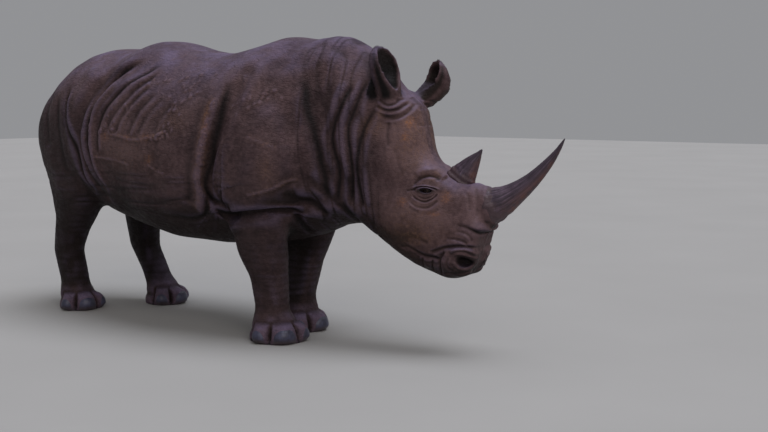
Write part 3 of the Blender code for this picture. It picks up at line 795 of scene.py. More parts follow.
class Sculptor:
    """Gathers how far every vertex of the skin moves, and the marks on it: soil, stains, wetness,
    painted shade and painted highlights.
    """

    MARKS = ("ridge", "crease", "dust", "wet", "stain", "shade")

    def __init__(self, mesh: Mesh, frame: StraightFrame) -> None:
        """Reads the mesh.

        Args:
            mesh: The skin.
            frame: The straight frame.
        """
        self.mesh = mesh
        self.frame = frame
        self.points = points_of(mesh)
        self.normals = normals_of(mesh)
        self.straight = frame.straighten(self.points)
        self.out = np.abs(self.straight[:, 1])
        self.rise = np.zeros(len(self.points))
        self.inwards = np.zeros(len(self.points))
        self.marks = {name: np.zeros(len(self.points)) for name in self.MARKS}
        self.head = slope(self.straight[:, 0], HEAD_FROM, HEAD_ALL)

    def mark(self, name: str, share: Array, chosen: Array | slice = slice(None)) -> None:
        """Lays a mark on the skin, where it isn't stronger already.

        Args:
            name: Which mark.
            share: How strong it is, per chosen vertex.
            chosen: The vertices.
        """
        layer = self.marks[name]
        layer[chosen] = np.maximum(layer[chosen], share)

    def nearest(self, line: Array, spots: Array) -> tuple[Array, Array]:
        """Finds the nearest place on a line.

        Args:
            line: The line's points.
            spots: Rows of u and z.

        Returns:
            Each spot's distance, above 0 on the line's left, and its share of the line.
        """
        best = np.full(len(spots), 9.0)
        side, share = np.zeros(len(spots)), np.zeros(len(spots))
        runs = len(line) - 1
        for number in range(runs):
            start, run = line[number], line[number + 1] - line[number]
            part = np.clip((spots - start) @ run / (run @ run), 0.0, 1.0)
            away = spots - start - part[:, None] * run
            far = np.hypot(away[:, 0], away[:, 1])
            closer = far < best
            best[closer] = far[closer]
            side[closer] = run[0] * away[closer, 1] - run[1] * away[closer, 0]
            share[closer] = (number + part[closer]) / runs
        return best * np.sign(side), share

    def fold(self, fold: Fold, gate: Array) -> None:
        """Presses one fold into both sides.

        Args:
            fold: The fold.
            gate: Per vertex, the share of it that applies there.
        """
        line = curve_through(fold.path)
        reach = 4.0 * max(fold.width) + 3.0 * fold.reach * (fold.lap[1] != 0.0)
        low, high = line.min(axis=0) - reach, line.max(axis=0) + reach
        spots = self.straight[:, [0, 2]]
        near = np.all((spots > low) & (spots < high), axis=1)
        chosen = np.nonzero(near & (gate > 0.0) & (self.out > fold.inner * 0.5))[0]
        if not len(chosen):
            return
        far, share = self.nearest(line, spots[chosen])
        far += noise(self.straight[chosen], 9.0, SEED) * 0.25 * min(fold.width)
        width, depth, lap = (pair[0] + (pair[1] - pair[0]) * share
                             for pair in (fold.width, fold.depth, fold.lap))
        ends = slope(share, 0.0, 0.12) * slope(share, 1.0, 0.90)
        outer = slope(self.out[chosen], fold.inner * 0.5, fold.inner + 0.02)
        strength = ends * gate[chosen] * outer
        groove = bell(far, 0.0, width)
        left = bell(far, 2.0 * width, 1.1 * width)
        right = bell(far, -2.0 * width, 1.1 * width)
        step = 0.5 * lap * np.tanh(far / (0.7 * width)) * np.exp(-np.abs(far) / fold.reach)
        self.rise[chosen] += strength * (
            fold.ahead * left + fold.behind * right - depth * groove + step
        )
        raised = groove
        if fold.depth[1] > 0:
            # painted shade along the bottom of the groove
            dark = bell(far, 0.0, 0.65 * width) * np.clip(depth / 0.012, 0, 1)
            self.mark("crease", strength * dark, chosen)
            raised = left
        self.mark("dust", strength * fold.dust * raised, chosen)

    def mound(self, mound: Mound) -> None:
        """Raises one mound on both sides.

        Args:
            mound: The mound.
        """
        spot = np.stack([self.straight[:, 0], self.out, self.straight[:, 2]], axis=1)
        far = (((spot - np.array(mound.centre)) / np.array(mound.radii)) ** 2).sum(axis=1)
        self.rise += mound.height * np.exp(-far)

    def patch(self, patch: Patch) -> None:
        """Lays one patch of soil or stain on both sides.

        Args:
            patch: The patch.
        """
        du = (self.straight[:, 0] - patch.centre[0]) / patch.radii[0]
        dz = (self.straight[:, 2] - patch.centre[1]) / patch.radii[1]
        share = patch.strength * np.exp(-(du**2 + dz**2)) * (self.out > 0.03)
        self.mark(patch.kind.value, share)

    def warts(self, band: Warts, chance: np.random.Generator) -> None:
        """Raises the lumps of one band.

        Args:
            band: The band.
            chance: Where each of them lies, and its size, come from this.
        """
        start, end = np.array(band.start), np.array(band.end)
        spots = self.straight[:, [0, 2]]
        for _ in range(band.count):
            spot = start + chance.random() * (end - start) + chance.normal(0, band.spread, 2)
            size = 0.006 + 0.005 * chance.random()
            near = np.nonzero((np.abs(spots - spot) < 3.0 * size).all(axis=1)
                              & (self.out > 0.15))[0]
            lump = bell(np.hypot(*(spots[near] - spot).T) / size, 0.0, 1.0)
            self.rise[near] += 0.55 * size * lump
            self.mark("dust", 0.9 * lump, near)

    def shadows(self) -> None:
        """Paints shade under the trunk, on the inner and lower legs and on the hind quarters."""
        normals = normals_of(self.mesh)
        height = self.points[:, 2]
        down = slope(-normals[:, 2], 0.05, 0.65)
        inward = -normals[:, 1] * np.sign(self.straight[:, 1])
        inner = slope(inward, 0.1, 0.8) * slope(height, 0.85, 0.65)
        behind = slope(self.straight[:, 0], -1.15, -1.55)
        low = slope(height, 1.12, 0.60) * (0.55 + 0.40 * behind)
        low = np.maximum(low, 0.70 * behind * slope(height, 1.50, 1.20))
        shade = np.maximum(np.maximum(down * 0.9, inner), low * (1.0 - self.head))
        self.mark("shade", shade * slope(height, 0.05, 0.20))

    def hollow_shade_crest_dust_and_light(self) -> None:
        """Finds the hollows and the ridges of the finished shape, small and large: painted shade
        in the hollows, dust and a painted highlight on the ridges.
        """
        points, normals = points_of(self.mesh), normals_of(self.mesh)
        whole = np.ones(len(points))
        for rounds, scale, share in ((5, 0.0009, 0.45), (30, 0.0050, 0.60)):
            relax(self.mesh, whole, rounds)
            lift = ((points - points_of(self.mesh)) * normals).sum(axis=1)
            set_points(self.mesh, points)
            self.mark("crease", share * slope(-lift, 0.15 * scale, scale))
            self.mark("ridge", (1.0 - 0.5 * self.head) * share
                      * slope(lift, 0.15 * scale, scale))

    def lids(self, eye: Opening) -> None:
        """Opens the skin over the eyeball and shapes the two lids.

        Args:
            eye: The slit between them.
        """
        far = eye.reach(self.straight)
        above = slope(self.straight[:, 2], eye.z - 0.006, eye.z + 0.012)
        rim, crease, roll = bell(far, 1.28, 0.20), bell(far, 1.95, 0.16), bell(far, 2.45, 0.28)
        self.inwards += eye.depth * slope(far, 1.05, 0.55)
        self.rise += 0.0055 * rim * (0.25 + 1.1 * above)
        self.rise -= 0.0050 * crease * (0.15 + 0.9 * above)
        self.rise += 0.0040 * roll * above
        # painted shade in the slit, in the upper lid's crease and round the eye
        self.mark("crease", slope(far, 1.25, 0.9))
        self.mark("crease", 0.8 * crease * (0.2 + 0.8 * above))
        self.mark("wet", slope(far, 1.30, 1.0))
        self.mark("shade", 0.75 * slope(far, 2.1, 1.1))

    def nostrils(self, nostril: Opening) -> None:
        """Opens the two nostrils.

        Args:
            nostril: Their shape.
        """
        far = nostril.reach(self.straight)
        self.inwards += nostril.depth * slope(far, 1.08, 0.35)
        self.rise += 0.005 * bell(far, 1.35, 0.25)
        # painted shade inside the nostrils
        self.mark("crease", slope(far, 1.10, 0.75))

    def toes(self, foot: Foot, gate: Array) -> None:
        """Shapes one foot into three toes, with a crease round its top.

        Args:
            foot: The foot.
            gate: Per vertex, 1 on this leg and 0 elsewhere.
        """
        dx, dy = self.points[:, 0] - foot.x, self.points[:, 1] - foot.y
        angle = (np.degrees(np.arctan2(dy, dx)) - foot.turn + 180.0) % 360.0 - 180.0
        z = self.points[:, 2]
        low = slope(z, 0.128, 0.070) * gate
        for turn, width in TOES:
            self.rise += 0.020 * low * bell(angle, turn, width)
        for turn in CLEFTS:
            cleft = bell(angle, turn, 4.5) * low
            self.rise -= 0.030 * cleft
            # painted shade in the clefts between the toes
            self.mark("crease", cleft)
        front = slope(np.abs(angle), 105.0, 70.0)
        top = bell(z, 0.118, 0.012) * gate * front
        heel = bell(z, 0.070, 0.016) * gate * (1.0 - front)
        self.rise -= 0.004 * top
        self.rise -= 0.007 * heel
        # painted shade in the creases round the top and the heel
        self.mark("crease", 0.5 * np.maximum(top, heel))

    def hollow(self, ear: Ear) -> None:
        """Darkens the inside of an ear with painted shade, the deeper the more.

        Args:
            ear: The ear.
        """
        inside = inside_box(self.points, ear.node, EAR_MARGIN)
        root, tip, faces = (np.array(v) for v in (ear.root, ear.tip, ear.faces))
        long = np.linalg.norm(tip - root)
        axis = (tip - root) / long
        faces = faces - axis * (faces @ axis)
        faces = faces / np.linalg.norm(faces)
        away = self.straight - root
        along, across, front = away @ axis / long, away @ np.cross(axis, faces), away @ faces
        ahead = self.frame.swing(self.straight + 0.01 * faces) - self.points
        facing = (self.normals * ahead).sum(axis=1) / 0.01
        levels = np.linspace(0.05, 0.98, 14)
        rims = [front[inside & (np.abs(along - level) < 0.05)].max() for level in levels]
        sunk = np.interp(along, levels, rims) - front
        share = inside * slope(facing, -0.1, 0.35) * slope(along, 0.12, 0.24)
        share *= slope(np.abs(across), 0.11, 0.08)
        self.mark("shade", share * slope(sunk, 0.004, 0.025))
        deep = slope(along, 0.98, 0.55) * slope(sunk, 0.004, 0.026)
        self.mark("crease", ear.dark * share * deep)

    def rings(self, low: float, high: float, apart: float, depth: float) -> None:
        """Wrinkles that run round the legs.

        Args:
            low: Height of the lowest.
            high: Height of the highest.
            apart: Distance between two.
            depth: Their depth.
        """
        legs = slope(self.straight[:, 2], high, high - 0.10)
        z = self.points[:, 2] + 0.016 * noise(self.points, 7.0, SEED + 3)
        span = slope(z, low, low + 0.06) * slope(z, high, high - 0.06)
        wave = np.abs(np.sin(math.pi * z / apart)) ** 0.6
        patchy = 0.5 + 0.5 * noise(self.points, 6.0, SEED + 4)
        line = (1.0 - wave) * span * legs * patchy
        self.rise -= depth * line
        # painted shade in the wrinkles
        self.mark("crease", 0.5 * line)

    def ripples(self) -> None:
        """Loose skin: soft, broad unevenness and long fine pleats."""
        u, z = self.straight[:, 0], self.straight[:, 2]
        trunk = slope(z, 0.55, 0.75) * slope(u, 0.70, 0.55)
        neck = slope(u, 0.15, 0.35) * slope(u, 0.72, 0.62)
        self.rise += 0.0035 * noise(self.points, 5.0, SEED + 5) * (0.4 + 0.6 * trunk)
        # fine pleats: upright on the neck, level on the lower flank
        upright = 1.0 - np.abs(noise(self.straight, (26.0, 9.0, 2.6), SEED + 6))
        level = 1.0 - np.abs(noise(self.straight, (2.4, 9.0, 24.0), SEED + 7))
        flank = trunk * slope(z, 1.15, 0.85) * slope(u, 0.0, -0.25)
        pleats = neck * upright**5 * 0.0050 + flank * level**5 * 0.0035
        self.rise -= pleats
        # painted shade in the pleats
        self.mark("crease", np.clip(pleats / 0.008, 0, 0.5))

    def finish(self) -> None:
        """Moves the vertices, keeps the soles flat and stores the marks, painted shade and
        highlights among them.
        """
        drawn_in = self.frame.straighten(self.points)
        drawn_in[:, 1] -= np.sign(drawn_in[:, 1]) * self.inwards
        inward = self.frame.swing(drawn_in) - self.points
        lift = slope(self.points[:, 2], 0.004, 0.030)
        moved = self.points + (self.normals * (self.rise * lift)[:, None] + inward)
        moved[moved[:, 2] < 0.005, 2] = 0.0
        set_points(self.mesh, moved)
        self.shadows()
        self.hollow_shade_crest_dust_and_light()
        for name, values in self.marks.items():
            store(self.mesh, name, np.clip(values, 0, 1))
        store(self.mesh, "head", self.head)


# ---------------------------------------------------------------------- the skin
@dataclass(frozen=True)
class HornRoot:
    """Where a horn leaves the head, in the straight frame.

    Args:
        node: The horn's CAD node.
        u: Where the cut lies along the head.
        z: The cut's height.
        ahead: How much of the horn's way goes forwards.
        up: How much of it goes up.
    """

    node: str
    u: float
    z: float
    ahead: float
    up: float


HORN_ROOTS = (HornRoot("horn_front", 1.264, 0.820, 0.97, 0.23),
              HornRoot("horn_rear", 1.076, 0.952, 0.41, 0.91))


@dataclass
class Skin:
    """The one skin over all of the flesh.

    Args:
        nodes: The CAD nodes by name.
        frame: The straight frame.
        voxel: Size of the cells in which the solids are fused.
        proud: How far the copies are swollen, so that neighbours meet.
        rounds: How long the fused skin is evened out.
        triangles: The most that the finished skin has.
        refined: Where its faces are halved: a middle in the straight frame and a reach.
        foot_margin: How far a foot's toes reach past its CAD box.
    """

    nodes: dict[str, Piece]
    frame: StraightFrame
    voxel: float = 0.0085
    proud: float = 0.001
    rounds: int = 80
    triangles: int = 192_000
    refined: tuple[tuple[Point, float], ...] = (
        ((0.68, 0.0, 0.90), math.inf),
        ((EYE.u, 0.14, EYE.z), 0.085),
        ((NOSTRIL.u, 0.10, NOSTRIL.z), 0.080),
    )
    foot_margin: float = 0.012

    @property
    def flesh(self) -> list[str]:
        """The names of the CAD nodes that the skin stands for."""
        names = "barrel chest neck head lower_jaw rump tail ear_left ear_right".split()
        return names + [f"{leg}_{part}" for leg in LEGS for part in ("upper", "lower", "foot")]

    def horn_root(self, cut: HornRoot) -> Piece:
        """The root of a horn, cut off where it leaves the head.

        Args:
            cut: Where it is cut.

        Returns:
            The root as an object.
        """
        root = copies_joined(f"{cut.node}_root", [self.nodes[cut.node]])
        lean = self.frame.turn
        way = Vector((cut.ahead * math.cos(lean), cut.ahead * math.sin(lean), cut.up))
        edit_all(root, bpy.ops.mesh.bisect, plane_co=self.frame.place(cut.u, 0.0, cut.z),
                 plane_no=way, use_fill=True, clear_outer=True)
        return root

    def fuse(self) -> Piece:
        """Joins the flesh, its filled sockets and the horns' roots into one closed skin.

        Returns:
            The skin.
        """
        sockets = ["eye_left", "eye_right"]
        sockets += [f"{leg}_nail_{number}" for leg in LEGS for number in (1, 2, 3)]
        roots = [self.horn_root(cut) for cut in HORN_ROOTS]
        skin = copies_joined("skin", [self.nodes[name] for name in self.flesh + sockets])
        for root in roots:
            root.select_set(True)
        bpy.ops.object.join()
        apply_modifier(skin, "DISPLACE", strength=self.proud, mid_level=0.0)
        apply_modifier(skin, "REMESH", mode="VOXEL", voxel_size=self.voxel, adaptivity=0.0)
        return skin

    def ears(self, points: Array) -> Array:
        """Finds the ears.

        Args:
            points: Rows of points in the row frame.

        Returns:
            1 per row on an ear and 0 elsewhere.
        """
        share = np.zeros(len(points))
        for ear in EARS:
            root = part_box(ear.node)[0].z + 0.10
            inside = inside_box(points, ear.node, EAR_MARGIN)
            share = np.maximum(share, inside * slope(points[:, 2], root, root + 0.03))
        return share

    def settle(self, skin: Piece) -> None:
        """Evens the skin out, the trunk most and the ears least, without thinning it.

        Args:
            skin: The fused skin.
        """
        mesh = skin.data
        points = points_of(mesh)
        straight = self.frame.straighten(points)
        share = 1.0 - 0.62 * slope(straight[:, 0], 0.58, 0.72)
        share *= 1.0 - 0.45 * slope(points[:, 2], 0.70, 0.45)
        share *= 1.0 - 0.75 * slope(points[:, 0], -1.78, -1.86)
        share = np.where(self.ears(points) > 0, 0.08, share)
        relax(mesh, share, self.rounds)
        kept = points_of(mesh)
        set_points(mesh, points - kept)
        relax(mesh, share, self.rounds)
        set_points(mesh, kept + points_of(mesh))

    def refine(self, skin: Piece) -> None:
        """Gives the head, and most of all the eyes and nostrils, smaller faces.

        Args:
            skin: The settled skin.
        """
        mesh = skin.data
        for centre, reach in self.refined:
            centres = read(mesh.polygons, "center").astype(float)
            straight = self.frame.straighten(centres)
            if reach == math.inf:
                chosen = straight[:, 0] > centre[0]
            else:
                straight[:, 1] = np.abs(straight[:, 1])
                chosen = np.linalg.norm(straight - np.array(centre), axis=1) < reach
            make_active(skin)
            bpy.ops.object.mode_set(mode="EDIT")
            bpy.ops.mesh.select_mode(type="FACE")
            bpy.ops.mesh.select_all(action="DESELECT")
            bpy.ops.object.mode_set(mode="OBJECT")
            mesh.polygons.foreach_set("select", chosen)
            bpy.ops.object.mode_set(mode="EDIT")
            bpy.ops.mesh.subdivide(number_cuts=1)
            bpy.ops.object.mode_set(mode="OBJECT")
        straight = self.frame.straighten(points_of(mesh))
        relax(mesh, 0.6 * (straight[:, 0] > 0.66), 4)

    def sculpt(self, skin: Piece) -> None:
        """Gives the skin its folds, lids, nostrils, mouth, toes and wrinkles.

        Args:
            skin: The refined skin.
        """
        work = Sculptor(skin.data, self.frame)
        u = work.straight[:, 0]
        body = 1.0 - self.ears(work.points)
        for mound in MOUNDS:
            work.mound(mound)
        for folds, gate in ((TRUNK_FOLDS, body * slope(u, 0.72, 0.64)),
                            (HEAD_FOLDS, body * slope(u, 0.60, 0.66))):
            for fold in folds:
                work.fold(fold, gate)
        work.rise *= body
        work.lids(EYE)
        work.nostrils(NOSTRIL)
        work.rings(low=0.14, high=0.66, apart=0.042, depth=0.0022)
        for leg in LEGS:
            gate = inside_box(work.points, f"{leg}_foot", self.foot_margin, axes=2)
            gate &= work.points[:, 2] < 0.25
            work.toes(Foot.from_node(leg), gate.astype(float))
        work.ripples()
        for patch in PATCHES:
            work.patch(patch)
        chance = np.random.default_rng(SEED + 40)
        for band in WARTS:
            work.warts(band, chance)
        for ear in EARS:
            work.hollow(ear)
        work.finish()
        relax(skin.data, 0.5 * body, 1)

    def build(self, finish: Material) -> Piece:
        """Makes the skin and lets it stand for the flesh nodes.

        Args:
            finish: Its material.

        Returns:
            The piece.
        """
        skin = self.fuse()
        self.settle(skin)
        self.refine(skin)
        self.sculpt(skin)
        apply_modifier(skin, "TRIANGULATE")
        apply_modifier(skin, "DECIMATE", ratio=self.triangles / len(skin.data.polygons))
        skin.data.uv_layers.new(name=UNWRAP)
        edit_all(skin, bpy.ops.uv.smart_project, angle_limit=1.15, island_margin=0.004,
                 scale_to_bounds=True)
        hand_over(skin, "hide", finish, *self.flesh)
        return skin


# --------------------------------------------------------------------- finishes
Socket = bpy.types.NodeSocket
Value = float | tuple[float, ...] | bpy.types.NodeSocket
Inputs = dict[str | int, Value]


def tone(red: int, green: int, blue: int) -> Colour:
    """Turns a display colour into a linear one.

    Args:
        red: Its red, from 0 to 255.
        green: Its green.
        blue: Its blue.

    Returns:
        The colour and an alpha of 1.
    """
    linear = [
        (c / 255 / 12.92) if c / 255 <= 0.04045 else ((c / 255 + 0.055) / 1.055) ** 2.4
        for c in (red, green, blue)
    ]
    return (*linear, 1.0)


class NodeSheet:
    """Adds nodes to one tree and links them."""

    def __init__(self, tree: Tree) -> None:
        """Starts on a tree."""
        self.tree = tree

    def add(self, kind: str, inputs: Inputs | None = None,
            **settings: object) -> Node:
        """Adds a node.

        Args:
            kind: Its type, without the word ShaderNode.
            inputs: A number, colour or socket per input.
            settings: Its properties.

        Returns:
            The node.
        """
        node = self.tree.nodes.new("ShaderNode" + kind)
        for name, value in settings.items():
            setattr(node, name, value)
        self.feed(node, inputs or {})
        return node

    def feed(self, node: Node, inputs: Inputs) -> None:
        """Sets or links a node's inputs.

        Args:
            node: The node.
            inputs: A number, colour or socket per input.
        """
        for key, value in inputs.items():
            if isinstance(value, Socket):
                self.tree.links.new(value, node.inputs[key])
            else:
                node.inputs[key].default_value = value

    def math(self, operation: str, *values: Value) -> Socket:
        """A sum of one to three numbers."""
        return self.add("Math", dict(enumerate(values)), operation=operation).outputs[0]

    def times(self, first: Value, second: Value) -> Socket:
        """The product of two numbers."""
        return self.math("MULTIPLY", first, second)

    def span(self, value: Value, low: float, high: float, to_low: float = 0.0,
             to_high: float = 1.0) -> Socket:
        """Stretches a span of values to another, clamped and soft at both ends."""
        inputs = dict(enumerate((value, low, high, to_low, to_high)))
        return self.add("MapRange", inputs, interpolation_type="SMOOTHSTEP").outputs[0]

    def blend(self, share: Value, first: Value, second: Value) -> Socket:
        """Mixes two colours."""
        return self.add("Mix", {0: share, 6: first, 7: second}, data_type="RGBA").outputs[2]

    def noise(self, spot: Socket, scale: Value, detail: float = 3.0,
              rough: float = 0.55) -> Socket:
        """Fractal noise from 0 to 1."""
        inputs = {"Vector": spot, "Scale": scale, "Detail": detail, "Roughness": rough}
        return self.add("TexNoise", inputs).outputs[0]

    def attribute(self, name: str) -> Socket:
        """A number kept on the mesh."""
        return self.add("Attribute", attribute_name=name).outputs["Fac"]


def new_group(name: str, inputs: dict[str, Value],
              outputs: tuple[str, ...]) -> tuple[NodeSheet, dict[str, Socket],
                                                 Node]:
    """Starts a shared node group.

    Args:
        name: Its name.
        inputs: A starting value per named input; a tuple of three is a vector.
        outputs: The names of its outputs; one that ends in Colour is a colour.

    Returns:
        Its sheet, its input sockets by name and its output node.
    """
    tree = bpy.data.node_groups.new(name, "ShaderNodeTree")
    for label, value in inputs.items():
        kinds = {3: "NodeSocketVector", 4: "NodeSocketColor"}
        kind = kinds[len(value)] if isinstance(value, tuple) else "NodeSocketFloat"
        socket = tree.interface.new_socket(label, in_out="INPUT", socket_type=kind)
        socket.default_value = value
    for label in outputs:
        kind = "NodeSocketColor" if label.endswith("Colour") else "NodeSocketFloat"
        tree.interface.new_socket(label, in_out="OUTPUT", socket_type=kind)
    start = tree.nodes.new("NodeGroupInput")
    end = tree.nodes.new("NodeGroupOutput")
    return NodeSheet(tree), {label: start.outputs[label] for label in inputs}, end


class Groups:
    """The node groups that several finishes share."""

    def __init__(self) -> None:
        """Builds all three."""
        self.crackle = self.make_crackle()
        self.mottle = self.make_mottle()
        self.fibres = self.make_fibres()

    def make_crackle(self) -> Tree:
        """Makes a net of fine cracks between small plates, as on thick dry skin.

        Returns:
            The group.
        """
        sheet, given, end = new_group(
            "crackle", {"Spot": (0.0, 0.0, 0.0), "Scale": 60.0, "Warp": 0.012},
            ("Height", "Lines"))
        shift = sheet.add("TexNoise", {"Vector": given["Spot"], "Scale": 14.0,
                                       "Detail": 2.0}).outputs["Color"]
        centred = sheet.add("VectorMath", {0: shift, 1: (0.5, 0.5, 0.5)},
                            operation="SUBTRACT").outputs[0]
        push = sheet.add("VectorMath", {0: centred, "Scale": given["Warp"]},
                         operation="SCALE").outputs[0]
        spot = sheet.add("VectorMath", {0: given["Spot"], 1: push},
                         operation="ADD").outputs[0]
        edge = sheet.add("TexVoronoi", {"Vector": spot, "Scale": given["Scale"]},
                         feature="DISTANCE_TO_EDGE").outputs["Distance"]
        finer = sheet.times(given["Scale"], 2.6)
        small = sheet.add("TexVoronoi", {"Vector": spot, "Scale": finer},
                          feature="DISTANCE_TO_EDGE").outputs["Distance"]
        broad = sheet.span(edge, 0.0, 0.22)
        fine = sheet.span(small, 0.0, 0.30)
        grain = sheet.noise(spot, sheet.times(given["Scale"], 4.0), 2.0)
        total = sheet.math("MULTIPLY_ADD", fine, 0.35, broad)
        total = sheet.math("MULTIPLY_ADD", grain, 0.25, total)
        lines = sheet.math("SUBTRACT", 1.0, sheet.span(edge, 0.0, 0.12))
        sheet.feed(end, {"Height": total, "Lines": lines})
        return sheet.tree

    def make_mottle(self) -> Tree:
        """Makes a cloudy change between two colours at two sizes.

        Returns:
            The group.
        """
        sheet, given, end = new_group(
            "mottle", {"Spot": (0.0, 0.0, 0.0), "Scale": 5.0,
                       "First": (0.1, 0.1, 0.1, 1.0), "Second": (0.2, 0.2, 0.2, 1.0)},
            ("Colour", "Share"))
        broad = sheet.noise(given["Spot"], given["Scale"], 4.0, 0.6)
        fine = sheet.noise(given["Spot"], sheet.times(given["Scale"], 9.0), 4.0)
        share = sheet.math("MULTIPLY_ADD", fine, 0.45, sheet.times(broad, 0.75))
        share = sheet.span(share, 0.42, 0.78)
        colour = sheet.blend(share, given["First"], given["Second"])
        sheet.feed(end, {"Colour": colour, "Share": share})
        return sheet.tree

    def make_fibres(self) -> Tree:
        """Makes long fine fibres along z of the vector that it is given.

        Returns:
            The group.
        """
        sheet, given, end = new_group(
            "fibres", {"Spot": (0.0, 0.0, 0.0), "Across": 90.0, "Along": 4.0},
            ("Height", "Share"))
        parts = sheet.add("SeparateXYZ", {0: given["Spot"]})
        joined = sheet.add("CombineXYZ", {
            0: sheet.times(parts.outputs[0], given["Across"]),
            1: sheet.times(parts.outputs[1], given["Across"]),
            2: sheet.times(parts.outputs[2], given["Along"])}).outputs[0]
        coarse = sheet.noise(joined, 1.0, 3.0, 0.6)
        fine = sheet.noise(joined, 3.2, 2.0, 0.5)
        height = sheet.math("MULTIPLY_ADD", fine, 0.4, coarse)
        sheet.feed(end, {"Height": height, "Share": sheet.span(coarse, 0.35, 0.65)})
        return sheet.tree


def new_material(name: str, constants: dict[str, Value]) -> tuple[
        Material, NodeSheet, Node, Socket]:
    """Starts a material.

    Args:
        name: Its name.
        constants: Values set on the shader's own sockets.

    Returns:
        The material, its sheet, its shader and the Object coordinates.
    """
    material = bpy.data.materials.new(name)
    material.use_nodes = True
    sheet = NodeSheet(material.node_tree)
    shader = material.node_tree.nodes["Principled BSDF"]
    sheet.feed(shader, constants)
    spot = sheet.add("TexCoord").outputs["Object"]
    return material, sheet, shader, spot


def bump(sheet: NodeSheet, shader: Node, *layers: tuple[Value, float]) -> None:
    """Feeds stacked bump layers to a shader's normal.

    Args:
        sheet: The material's sheet.
        shader: Its shader.
        layers: A height and the distance in metres that it stands for, broadest first.
    """
    below: Inputs = {}
    for height, distance in layers:
        inputs = {"Height": height, "Distance": distance, "Strength": 1.0, **below}
        below = {"Normal": sheet.add("Bump", inputs).outputs[0]}
    sheet.feed(shader, below)


@dataclass(frozen=True)
class Hide:
    """Bare, thick, cracked skin with dust on it, and with shade and sky light painted into its
    colour.

    Args:
        dark: Colour of the hollows of the mottling.
        light: Colour of its tops.
        painted_shade: Colour of the painted shade under the trunk, on the inner legs, round the
            eyes and in the ear hollows.
        dust_and_sky_light: Colour of dry dust, and of the painted sky light on what faces up and
            the painted highlight on ridges.
        soil: Colour of ochre soil rubbed into the folds' crests.
        stain: Colour of the orange patches on the head.
        fold: Colour of the cracks, and of the painted shade deep in folds and other hollows.
    """

    dark: Colour = tone(66, 49, 51)
    light: Colour = tone(102, 80, 82)
    painted_shade: Colour = tone(34, 26, 25)
    dust_and_sky_light: Colour = tone(120, 106, 134)
    soil: Colour = tone(128, 96, 78)
    stain: Colour = tone(156, 100, 58)
    fold: Colour = tone(12, 9, 9)

    def make(self, groups: Groups) -> Material:
        """Builds the material.

        Args:
            groups: The shared node groups.

        Returns:
            The material.
        """
        material, sheet, shader, spot = new_material(
            "hide", {"Specular IOR Level": 0.15})
        body = sheet.math("SUBTRACT", 1.0, sheet.times(sheet.attribute("head"), 0.75))
        mottle = sheet.add("Group", {"Spot": spot, "Scale": 4.5, "First": self.dark,
                                     "Second": self.light}, node_tree=groups.mottle)
        crackle = sheet.add("Group", {"Spot": spot, "Scale": 115.0, "Warp": 0.012},
                            node_tree=groups.crackle)
        drawn_out = sheet.add("Mapping", {"Vector": spot, "Scale": (0.45, 0.8, 1.15)})
        level = sheet.add("Group", {"Spot": drawn_out.outputs[0], "Scale": 38.0,
                                    "Warp": 0.03}, node_tree=groups.crackle)
        # painted shade: darker under the trunk, on the inner and lower legs, on the hind quarters,
        # round the eyes and in the ear hollows
        colour = sheet.blend(sheet.attribute("shade"), mottle.outputs["Colour"], self.painted_shade)
        # dust, and painted sky light, on what faces up: lighter and bluer the more it faces up
        up = sheet.add("SeparateXYZ", {0: sheet.add("NewGeometry").outputs["Normal"]})
        top = sheet.span(up.outputs[2], 0.25, 0.95)
        patch = sheet.span(sheet.noise(spot, 7.0, 5.0, 0.65), 0.40, 0.66)
        top = sheet.times(top, sheet.math("MULTIPLY_ADD", patch, 0.45, 0.30))
        colour = sheet.blend(top, colour, self.dust_and_sky_light)
        specks = sheet.span(sheet.noise(spot, 55.0, 4.0, 0.7), 0.40, 0.72)
        soil = sheet.times(sheet.attribute("dust"), sheet.math("MULTIPLY_ADD", specks, 0.6, 0.25))
        colour = sheet.blend(soil, colour, self.soil)
        spots = sheet.times(sheet.attribute("stain"), sheet.math("MULTIPLY_ADD", specks, 0.8, 0.2))
        colour = sheet.blend(spots, colour, self.stain)
        lines = sheet.times(crackle.outputs["Lines"], sheet.span(body, 0.0, 1.0, 0.04, 0.13))
        colour = sheet.blend(lines, colour, self.fold)
        # dust and a painted highlight on the ridges of the shape
        ridge = sheet.times(sheet.attribute("ridge"), 0.50)
        colour = sheet.blend(ridge, colour, self.dust_and_sky_light)
        cracks = sheet.times(level.outputs["Lines"], sheet.times(body, 0.11))
        colour = sheet.blend(cracks, colour, self.fold)
        # painted shade in folds, hollows, wrinkles, clefts, the nostrils, the eye's slit and the
        # ear hollows
        deep = sheet.times(sheet.attribute("crease"), 0.90)
        colour = sheet.blend(deep, colour, self.fold)
        dry = sheet.span(sheet.noise(spot, 30.0, 3.0), 0.3, 0.7, 0.50, 0.72)
        rough = sheet.blend(sheet.attribute("wet"), dry, (0.22, 0.22, 0.22, 1.0))
        sheet.feed(shader, {"Base Color": colour, "Roughness": rough})
        bump(sheet, shader, (sheet.noise(spot, 18.0, 4.0), 0.006),
             (sheet.times(level.outputs["Height"], body), 0.0020),
             (sheet.times(crackle.outputs["Height"],
                         sheet.span(body, 0.0, 1.0, 0.25, 1.0)), 0.0015))
        return material


